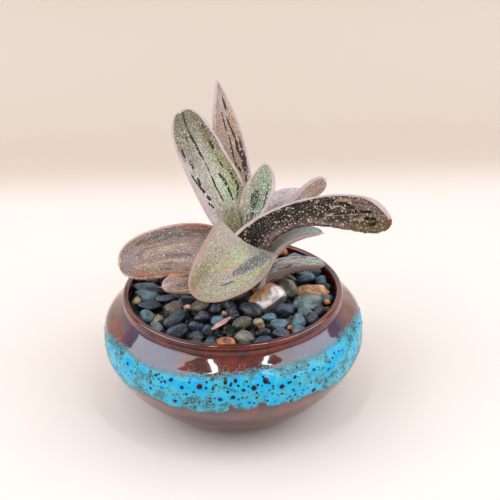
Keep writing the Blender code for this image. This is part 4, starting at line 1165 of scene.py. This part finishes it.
# Pebbles that show at the front: place, then length, width, height, turn, colour, and lift over the others
PEBBLES = [
    (-44, 8, 15, 9, 5, 0, BLUE_GREY, 0), (-38, 4, 9, 5, 3, 0, INK, 0),
    (-43, 0, 12.5, 8, 5, -10, BLUE_GREY, 0), (-47, -4.5, 5, 5, 5, 0, SANDY, 0),
    (-46.5, 3, 4, 4, 4, 0, SPECKLED_GREY, 0), (-31.5, -3, 15.5, 6.5, 4, -4, SLATE_NAVY, 0),
    (-41, -9, 12, 8, 4.5, 0, SLATE_NAVY, 0), (-29.5, -12.5, 10.5, 9.5, 5, 0, UMBER, 0),
    (-41, -18, 8, 8, 7, 0, BLUE_GREY, 0), (-35.5, -23, 6, 5, 7, 60, SANDY, 0),
    (-27.5, -22, 13.5, 7.5, 7, 35, SLATE_NAVY, 0.5), (-26, -32, 10.5, 7, 6.5, 20, SLATE_NAVY, 0),
    (-17, -11, 12, 9, 5, 0, UMBER, 0), (-15, -20.5, 9, 7, 5.5, 0, SLATE_NAVY, 0),
    (-17, -29.5, 8, 6.5, 5.5, 0, SLATE_NAVY, 0), (-17.5, -37, 8, 6, 6, 30, INK, 0),
    (-8, -14.5, 7, 7, 6, 0, INK, 0), (-11.5, -33, 8, 6, 8, 75, SLATE_NAVY, 0.5),
    (-7, -25.5, 7, 6, 5, 0, BLUE_GREY, 0), (-1, -18.5, 9, 6, 7, 115, INK, 0),
    (7.5, -14.5, 14.5, 9, 9, -45, INK, 0.5), (4, -27, 9, 6.5, 5, 10, CRUMBLY, 0),
    (11.5, -28, 5, 4.5, 5, 0, SANDY, 0), (14, -36.5, 6.5, 6, 7, 0, INK, 0),
    (16.5, -23.5, 7, 6, 5, 0, BLUE_GREY, 0), (21, -29, 8, 7, 6.5, -20, BLUE_GREY, 0),
    (21, -37, 8, 6, 5.5, 10, SLATE_NAVY, 0), (24.5, -17, 8.5, 8, 7.5, 20, SLATE_NAVY, 0.5),
    (29.5, -27.5, 9.5, 7, 8, 70, BLUE_GREY, 0.5), (36, -24.5, 8.5, 8, 8, 40, INK, 0),
    (41, -18.5, 7, 5, 7, 60, SLATE_NAVY, 0), (33.5, -18.5, 8, 5, 6, -10, GREY_GREEN, -0.5),
    (38.5, 14.5, 11, 8, 6, 10, BLUE_GREY, 0), (43.5, 18.5, 7, 5, 5, 0, SLATE_NAVY, 0),
    (46, 10.5, 7, 7, 6, 0, BLUE_GREY, 0), (47.3, 3, 6, 6, 6.5, 70, SLATE_NAVY, 0),
    (29, 12.5, 8, 6, 5, 10, CRUMBLY, 0), (45.5, -12.5, 3.5, 3, 3, 30, ORANGE, 0),
    (25.5, -34.5, 3, 3, 3, 0, ORANGE, 0.3), (12.5, -32.5, 4, 3, 3, 60, BROWN, 0),
    (35.5, 31, 15, 8, 8, 137, BLUE_GREY, 3.2), (28, 37, 7, 5, 5, 140, ORANGE, 3.4),
    (43.5, 25, 6, 6, 6, 0, SLATE_NAVY, 2.0), (30, 26, 12, 8, 7, 150, GREY_GREEN, 1.5),
    (-22, -15, 3.6, 2.4, 3, 20, SHELL_PINK, 0.8), (-4.5, -21, 2.6, 2.4, 3, 0, SHELL_PINK, 0.5),
    (-5.5, -31.5, 11, 2.4, 2.0, 42, SHELL_PINK, 1.6),
]
FILLER_COLOURS = (SLATE_NAVY, SLATE_NAVY, INK, INK, BLUE_GREY, GREY_GREEN, SLATE_NAVY, SPECKLED_GREY)
GRIT_COLOURS = (INK, INK, SLATE_NAVY, SLATE_NAVY, INK, BLUE_GREY, SPECKLED_GREY, BROWN, SANDY, ORANGE, INK,
                SLATE_NAVY, CHALK, SLATE_NAVY, INK, SHELL_PINK)
# Pebbles of other colours: place, (length, width, height), turns about x, y and z, lift
BRIGHT_PEBBLES = {
    "stone_quartz": ((17, -8), (17.5, 13, 14.5), (6, -8, 25), 2.2),
    "stone_rust": ((40, 0), (15.5, 10, 9), (4, 6, 5), 0.8),
    "stone_striped": ((27.5, 3), (15, 8.5, 9.5), (-8, 8, -42), 1.4),
    "stone_green": ((36, -10), (16, 9, 8), (-5, 4, 12), 0.5),
    "stone_rust_slab": ((-4, -41), (10, 5, 5), (10, -6, 5), 0.0),
    "stone_pale": ((5, -37), (9, 7, 6), (8, 5, -20), 0.0),
}


def worn_stones(chance, places, sizes, turns, rings, around, wear):
    """Worn stones, all worked out at once. Each is a ball cut by random planes: in the direction d its radius
    is (sum of (d.n / h)^wear + 1)^(-1/wear) over its planes with normal n at distance h, so low wear gives
    round stones and high wear sharp ones. It is then stretched, turned and placed."""
    polar = np.pi * (np.arange(rings) + 0.5) / rings
    turn = 2 * np.pi * np.arange(around) / around
    level = np.sin(polar)[:, None]
    ways = np.broadcast_arrays(level * np.cos(turn), level * np.sin(turn), np.cos(polar)[:, None])
    ways = np.vstack([np.stack(ways, -1).reshape(-1, 3), [[0, 0, 1], [0, 0, -1]]])
    count = len(places)
    planes = chance.normal(size=(count, STONE_PLANES, 3))
    planes /= np.linalg.norm(planes, axis=-1)[..., None]
    far = chance.uniform(*PLANE_REACH, (count, 1, STONE_PLANES))
    reach = np.clip(np.einsum("vk,npk->nvp", ways, planes), 0, None) / far
    wears = np.broadcast_to(np.asarray(wear, float).reshape(-1, 1), (count, 1))
    radius = ((reach ** wears[..., None]).sum(-1) + 1.0) ** (-1 / wears)
    lumps = chance.normal(size=(count, 3, 3)) * 2.6
    shift = chance.uniform(0, 6.28, (count, 1, 3))
    radius *= 1 + STONE_LUMPS * np.sin(np.einsum("vk,npk->nvp", ways, lumps) + shift).sum(-1)
    shape = ways[None] * radius[..., None] * (STONE_FILL * np.asarray(sizes, float))[:, None]
    spin = np.array([Euler([math.radians(angle) for angle in three]).to_matrix() for three in turns])
    points = np.einsum("nij,nvj->nvi", spin, shape) + np.asarray(places, float)[:, None]
    quads, caps = capped_tube(rings, around)
    each = np.arange(count)[:, None, None] * len(ways)
    return points.reshape(-1, 3), (quads[None] + each).reshape(-1, 4), (caps[None] + each).reshape(-1, 3)


def pebble_turns(chance, turn):
    """A pebble's turns about x, y and z: it leans a little to some side."""
    return chance.uniform(-PEBBLE_LEAN, PEBBLE_LEAN), chance.uniform(-PEBBLE_LEAN, PEBBLE_LEAN), turn


def lay_pebbles(chance):
    """The pebbles to lay, as place, size, turns and colour: those that show at the front, then filler laid at
    random wherever it meets no other stone, big ones first."""
    placed = []
    for x, y, long, wide, high, turn, colour, lift in PEBBLES:
        place = (x, y, PEBBLE_TOPS - 0.5 * high + lift)
        placed.append((place, (long, wide, high), pebble_turns(chance, turn), colour))
    taken = [(x, y, 0.25 * (long + wide)) for x, y, long, wide, *_ in PEBBLES]
    taken += [(*place, 0.27 * (size[0] + size[1])) for place, size, *_ in BRIGHT_PEBBLES.values()]
    for radius, tries in GRAVEL_ROUNDS:
        for _ in range(tries):
            reach = (GRAVEL_REACH - radius) * math.sqrt(chance.random())
            angle = chance.uniform(0, 2 * math.pi)
            x, y = reach * math.cos(angle), reach * math.sin(angle)
            if any(math.hypot(x - a, y - b) < GRAVEL_SPACING * (radius + r) for a, b, r in taken):
                continue
            taken.append((x, y, radius))
            slim = chance.uniform(0.75, 1.0)
            size = (2 * radius / slim, 2 * radius * slim, 2 * radius * chance.uniform(0.55, 0.85))
            turns = pebble_turns(chance, chance.uniform(0, 180))
            colour = FILLER_COLOURS[len(placed) * 5 % len(FILLER_COLOURS)]
            placed.append(((x, y, PEBBLE_TOPS - 0.5 * size[2] - 0.4), size, turns, colour))
    return placed


def stone_group():
    """Worn stone: cloudy colour with painted shade on its sides and below, fine grains, dark specks, and a
    pale dusting with a painted bluish sheen on its top."""
    inputs = {"colour": ("Base", "Grain"), "number": ("Grains",), "place": ("Place",)}
    outputs = {"colour": ("Colour",), "number": ("Roughness", "Height")}
    tree, given, out = new_group("worn_stone", inputs, outputs)
    broad = mottle(tree, given["Place"], 4.0, 4)
    fine = mottle(tree, given["Place"], 0.7, 3)
    grit = cells(tree, given["Place"], 1700.0)
    facing = parts_of(tree, put(tree, "ShaderNodeNewGeometry").outputs["Normal"])["Z"]
    # Painted shade: the stone is darker where its surface faces sideways or down
    tone = times(tree, between(tree, broad, 0.28, 0.72, 0.42, 1.65),
                 between(tree, facing, -0.3, 0.6, 0.32, 1.08))
    colour = shade(tree, given["Base"], tone)
    colour = lay(tree, times(tree, between(tree, fine, 0.50, 0.68), given["Grains"]), colour, given["Grain"])
    specks = times(tree, between(tree, grit, 0.22, 0.10), given["Grains"])
    colour = lay(tree, specks, colour, paint(30, 28, 28))
    # Pale dust and a painted bluish sheen on the upward faces of the stones
    dust_and_painted_sheen = times(tree, between(tree, facing, 0.60, 1.0), between(tree, fine, 0.40, 0.65, 0.0, 0.28))
    colour = lay(tree, dust_and_painted_sheen, colour, paint(140, 164, 190))
    feed(tree, out, {"Colour": colour, "Roughness": between(tree, fine, 0.3, 0.7, 0.24, 0.50),
                     "Height": plus(tree, fine, times(tree, grit, 0.4))})
    return tree


WORN_STONE = stone_group()


def finish_stone(tree, shader, values):
    """Gives a shader the worn stone with those values."""
    stone = use_group(tree, WORN_STONE, values)
    feed(tree, shader, {"Base Color": stone["Colour"], "Roughness": stone["Roughness"],
                        "Normal": raised(tree, stone["Height"], 0.0003, 0.85), "Coat Weight": 0.4,
                        "Coat Roughness": 0.10})


def gravel_finish():
    """Each stone in its own colour, from the mark base, darker low down as painted shade in the gaps between
    the stones.
    """
    finish, tree, shader, place = new_finish("river_gravel")
    base = put(tree, "ShaderNodeAttribute", attribute_name="base").outputs["Color"]
    # Painted shade: the bed, the grit and the lower parts of the pebbles darken towards the bottom of the
    # gravel
    painted_gap_shade = between(tree, parts_of(tree, place)["Z"], 0.0518, 0.0565, 0.14, 1.0)
    finish_stone(tree, shader, {"Base": shade(tree, base, painted_gap_shade), "Grain": paint(170, 160, 142),
                                "Grains": mark_of(tree, "grains"), "Place": place})
    return finish


def gravel_bed(chance):
    """The bed: a disc of crushed stone turned round the axis, with bumps on its top."""
    top = np.linspace(BED_CORE, BED_RADIUS, BED_RINGS)
    outline = np.vstack([np.column_stack([top, np.full(BED_RINGS, BED_LEVEL)]),
                         bend((BED_RADIUS, BED_LEVEL), (53.2, 50.2), (55.5, 48.6), (56.5, BED_FOOT), 4),
                         [(40.0, BED_FOOT), (1.0, BED_FOOT)]])
    turn = np.linspace(0, 2 * np.pi, BED_STEPS, endpoint=False)
    x = outline[:, :1] * np.cos(turn)
    y = outline[:, :1] * np.sin(turn)
    on_top = ease(outline[:, :1], BED_RADIUS + 0.1, BED_RADIUS - 1.0) * (outline[:, 1:] > BED_LEVEL - 0.01)
    crush = np.clip(bumps(chance, (x + 60) / BED_PITCH, (y + 60) / BED_PITCH, 0.95, 0.45, 0.75), 0, 1)
    z = outline[:, 1:] + BED_CRUSH * crush ** 0.7 * on_top
    points = np.vstack([np.stack([x, y, z], -1).reshape(-1, 3), [[0, 0, BED_LEVEL], [0, 0, BED_FOOT]]])
    quads, caps = (faces[:, ::-1] for faces in capped_tube(len(outline), BED_STEPS))
    speck = cloud(chance, (points[:, 0] + 60) / BED_PITCH, (points[:, 1] + 60) / BED_PITCH)[:, None]
    # The bed is dark crushed stone, painted darker still as shade in the gaps between the pebbles
    return points, quads, caps, np.array(INK[:3]) * (0.4 + 0.3 * speck), np.full(len(points), 0.3)


def gravel_pebbles(chance):
    """The pebbles, some of them worn rounder than others, the crumbly ones with more grains."""
    places, sizes, turns, colours = zip(*lay_pebbles(random.Random(GRAVEL_SEED)))
    wear = chance.choice(PEBBLE_WEARS, len(places))
    stones = worn_stones(chance, places, sizes, turns, PEBBLE_RINGS, PEBBLE_STEPS, wear)
    grains = [0.9 if colour in (UMBER, CRUMBLY, SPECKLED_GREY) else chance.choice((0.1, 0.25, 0.6))
              for colour in colours]
    each = PEBBLE_RINGS * PEBBLE_STEPS + 2
    return (*stones, np.repeat([colour[:3] for colour in colours], each, axis=0), np.repeat(grains, each))


def gravel_grit(chance):
    """The grit that fell between the pebbles, at random over the bed."""
    reach = (GRAVEL_REACH - 1.0) * np.sqrt(chance.random(GRIT_COUNT))
    angle = chance.uniform(0, 2 * np.pi, GRIT_COUNT)
    size = chance.uniform(1.5, 3.6, (GRIT_COUNT, 1)) * chance.uniform(0.7, 1.25, (GRIT_COUNT, 3))
    level = BED_LEVEL + 0.9 + chance.uniform(-0.2, 1.0, GRIT_COUNT)
    places = np.column_stack([reach * np.cos(angle), reach * np.sin(angle), level])
    turns = chance.uniform(0, 180, (GRIT_COUNT, 3))
    stones = worn_stones(chance, places, size, turns, GRIT_RINGS, GRIT_STEPS, GRIT_WEAR)
    picks = chance.integers(0, len(GRIT_COLOURS), GRIT_COUNT)
    colours = np.array([colour[:3] for colour in GRIT_COLOURS])[picks]
    return (*stones, np.repeat(colours, GRIT_RINGS * GRIT_STEPS + 2, axis=0), np.full(len(stones[0]), 0.3))


def make_gravel():
    """Joins the bed, the pebbles and the grit in one mesh."""
    chance = np.random.default_rng(GRAVEL_SEED)
    layers = [gravel_bed(chance), gravel_pebbles(chance), gravel_grit(chance)]
    starts = np.cumsum([0, len(layers[0][0]), len(layers[1][0])])
    points, colours = (np.vstack([layer[part] for layer in layers]) for part in (0, 3))
    faces = [np.vstack([layer[part] + start for layer, start in zip(layers, starts)]) for part in (1, 2)]
    grains = np.concatenate([layer[4] for layer in layers])
    piece = new_piece("river_gravel", points, faces, gravel_finish(), base=colours, grains=grains)
    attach(piece, "root")
    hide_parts("gravel")


make_gravel()


# The pebbles of other colours
# Single river stones: milky quartz with an iron crust, two rusty sandstones, a banded one, a green one and a
# speckled pale one. Each lies in a socket among the dark pebbles.
BRIGHT_SEED = 70
BRIGHT_RINGS, BRIGHT_STEPS = 60, 84


def bright_finish(name, place_mm, looks):
    """A stone in two colours: the second lies in clouds, in bands across the stone, or as a crust on the side
    that a direction points to."""
    finish, tree, shader, place = new_finish(name)
    clouds = mottle(tree, place, 7.0, 5)
    share = between(tree, clouds, looks["second_from"] - 0.06, looks["second_from"] + 0.06)
    if "bands" in looks:
        wave_place = put(tree, "ShaderNodeMapping", {"Vector": place, "Rotation": (0.5, 0.9, 0.3)}).outputs[0]
        wave_inputs = {"Vector": wave_place, "Scale": looks["bands"], "Distortion": 5.0, "Detail": 3.0,
                       "Detail Scale": 2.5}
        wave = put(tree, "ShaderNodeTexWave", wave_inputs).outputs["Fac"]
        share = times(tree, between(tree, wave, 0.62, 0.90), between(tree, clouds, 0.42, 0.56))
    if "crust" in looks:
        way = looks["crust"]
        dot = put(tree, "ShaderNodeVectorMath", {0: place, 1: way}, operation="DOT_PRODUCT").outputs["Value"]
        middle = sum(a * b * MM for a, b in zip(way, place_mm))
        depth = times(tree, reckon(tree, "SUBTRACT", dot, middle), 220.0)
        share = between(tree, plus(tree, depth, swing(tree, clouds, 1.6)), 0.25, 0.55)
    tones = lay(tree, mottle(tree, place, 1.6, 3), looks["second"], looks["second_dark"])
    finish_stone(tree, shader, {"Base": lay(tree, share, looks["base"], tones), "Grain": looks["grain"],
                                "Grains": looks["grains"], "Place": place})
    return finish


BRIGHT_LOOKS = {
    "stone_quartz": {"base": paint(232, 222, 222), "grain": paint(248, 240, 232), "grains": 0.35,
                     "second": paint(222, 158, 92), "second_dark": paint(134, 72, 34), "second_from": 0.6,
                     "crust": (-0.62, 0.52, 0.58), "wear": 34.0},
    "stone_rust": {"base": paint(238, 180, 120), "grain": paint(252, 226, 188), "grains": 0.5,
                   "second": paint(206, 124, 66), "second_dark": paint(132, 74, 42), "second_from": 0.57,
                   "wear": 36.0},
    "stone_striped": {"base": paint(96, 94, 92), "grain": paint(190, 182, 168), "grains": 0.6,
                      "second": paint(214, 198, 174), "second_dark": paint(168, 146, 118), "second_from": 0.6,
                      "bands": 60.0, "wear": 32.0},
    "stone_green": {"base": paint(108, 128, 132), "grain": paint(130, 144, 142), "grains": 0.5,
                    "second": paint(60, 78, 82), "second_dark": paint(48, 60, 64), "second_from": 0.54,
                    "wear": 18.0},
    "stone_rust_slab": {"base": paint(204, 124, 62), "grain": paint(236, 186, 130), "grains": 0.5,
                        "second": paint(160, 84, 40), "second_dark": paint(112, 56, 28), "second_from": 0.54,
                        "wear": 20.0},
    "stone_pale": {"base": paint(146, 140, 128), "grain": paint(198, 188, 172), "grains": 0.8,
                   "second": paint(110, 106, 98), "second_dark": paint(70, 66, 62), "second_from": 0.56,
                   "wear": 10.0},
}
for number, (name, (place, size, turns, lift)) in enumerate(BRIGHT_PEBBLES.items()):
    looks = BRIGHT_LOOKS[name]
    chance = np.random.default_rng(BRIGHT_SEED + number)
    middle = (*place, PEBBLE_LEVEL + lift)
    points, *faces = worn_stones(chance, [middle], [size], [turns], BRIGHT_RINGS, BRIGHT_STEPS, looks["wear"])
    finish = bright_finish(name + "_skin", middle, looks)
    piece = new_piece("worn_" + name, points, faces, finish)
    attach(piece, "root")
    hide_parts(name)


# The table and the light
# A pale table that runs up into a warm wall, two large soft windows at the sides and two narrow ones
# overhead.
LIGHT_AIM = (0.0, 0.0, 0.06)
WINDOW_TINT = (0.86, 0.925, 1.0)
ROOM_TINT = (1.0, 0.89, 0.75, 1.0)
ROOM_STRENGTH = 0.49
TABLE_FRONT = -1800.0
TABLE_SIDE = 2000.0
SWEEP_START = 420.0
SWEEP_RADIUS = 160.0
WALL_TOP = 1500.0


def stage_finish():
    """Warm white table top, and beige paint on the wall behind it."""
    finish, tree, shader, place = new_finish("pale_table")
    on_wall = between(tree, parts_of(tree, place)["Y"], 0.24, 0.36)
    colour = lay(tree, on_wall, paint(255, 248, 246), paint(227, 215, 205))
    clouds = between(tree, mottle(tree, place, 60, 2), 0.3, 0.7, 0, 0.03)
    feed(tree, shader, {"Base Color": lay(tree, clouds, colour, paint(226, 208, 190)), "Roughness": 0.6})
    return finish


def make_stage():
    """A sweep: a profile of a level run, a quarter circle and an upright run, drawn out sideways."""
    quarter = np.linspace(0, 0.5 * np.pi, 24)
    wall = SWEEP_START + SWEEP_RADIUS
    depth = np.concatenate([[TABLE_FRONT, -600.0], SWEEP_START + SWEEP_RADIUS * np.sin(quarter), [wall]])
    height = np.concatenate([[0.0, 0.0], SWEEP_RADIUS * (1 - np.cos(quarter)), [WALL_TOP]])
    side = np.array([-TABLE_SIDE, TABLE_SIDE])
    points = np.stack([np.repeat(side[None], len(depth), 0), np.repeat(depth[:, None], 2, 1),
                       np.repeat(height[:, None], 2, 1)], -1).reshape(-1, 3)
    row = np.arange(len(depth) - 1) * 2
    faces = np.column_stack([row, row + 1, row + 3, row + 2])
    sweep = new_piece("table_and_wall", points, [faces], stage_finish())


def add_light(name, place, size, power, colour=(1.0, 1.0, 1.0)):
    """A flat soft light that faces the plant."""
    light = bpy.data.lights.new(name, "AREA")
    light.shape = "RECTANGLE"
    light.size = size[0]
    light.size_y = size[1]
    light.energy = power
    light.color = colour
    lamp = bpy.data.objects.new(name, light)
    lamp.location = place
    aim = Vector(LIGHT_AIM) - lamp.location
    lamp.rotation_euler = aim.to_track_quat("-Z", "Y").to_euler()
    bpy.context.scene.collection.objects.link(lamp)


make_stage()
add_light("left_window", (-0.85, -0.20, 0.74), (1.1, 0.75), 6.5, WINDOW_TINT)
add_light("right_window", (0.85, -0.22, 0.74), (1.1, 0.75), 6.2, WINDOW_TINT)
add_light("left_overhead", (-0.185, -0.31, 0.93), (0.055, 0.42), 0.8)
add_light("right_overhead", (0.27, -0.31, 0.93), (0.055, 0.42), 0.8)
world = bpy.data.worlds.new("soft_room")
world.use_nodes = True
world.node_tree.nodes["Background"].inputs["Color"].default_value = ROOM_TINT
world.node_tree.nodes["Background"].inputs["Strength"].default_value = ROOM_STRENGTH
bpy.context.scene.world = world
bpy.context.scene.view_settings.view_transform = "Standard"


# The camera stands in front and looks down on the bowl, as in the photograph of 500 by 500 pixels.
CAMERA_PLACE = (0.0, -296.2, 227.0)
AIM = (0.0, 0.0, 60.1)
AIM_PIXEL = (232.6, 284.1)
ROLL = -1.65
FOCAL_PIXELS = 686.0
FRAME_PIXELS = 500.0
SENSOR = 36.0


def camera_axes():
    """The camera's right, down and forward directions: level and aimed, then turned so that the aimed point
    falls on its pixel, and rolled."""
    forward = np.array(AIM) - np.array(CAMERA_PLACE)
    forward /= np.linalg.norm(forward)
    right = np.array([1.0, 0.0, 0.0])
    level = np.array([right, np.cross(forward, right), forward])
    ray = np.array([AIM_PIXEL[0] - FRAME_PIXELS / 2, AIM_PIXEL[1] - FRAME_PIXELS / 2, FOCAL_PIXELS])
    ray /= np.linalg.norm(ray)
    yaw = math.atan2(ray[0], ray[2])
    pitch = math.asin(-ray[1])
    roll = math.radians(ROLL)
    about_y = np.array([[math.cos(yaw), 0, math.sin(yaw)], [0, 1, 0], [-math.sin(yaw), 0, math.cos(yaw)]])
    about_x = np.array([[1, 0, 0], [0, math.cos(pitch), -math.sin(pitch)],
                        [0, math.sin(pitch), math.cos(pitch)]])
    about_z = np.array([[math.cos(roll), -math.sin(roll), 0], [math.sin(roll), math.cos(roll), 0], [0, 0, 1]])
    return about_y @ about_x @ about_z @ level


def add_camera():
    """The camera, with its axes as columns of its matrix."""
    right, down, forward = camera_axes()
    seen = bpy.data.cameras.new("front_view")
    seen.sensor_width = SENSOR
    seen.lens = FOCAL_PIXELS * SENSOR / FRAME_PIXELS
    camera = bpy.data.objects.new("front_view", seen)
    columns = np.eye(4)
    columns[:3, 0] = right
    columns[:3, 1] = -down
    columns[:3, 2] = -forward
    columns[:3, 3] = np.array(CAMERA_PLACE) * MM
    camera.matrix_world = Matrix(columns.tolist())
    bpy.context.scene.collection.objects.link(camera)
    bpy.context.scene.camera = camera


add_camera()
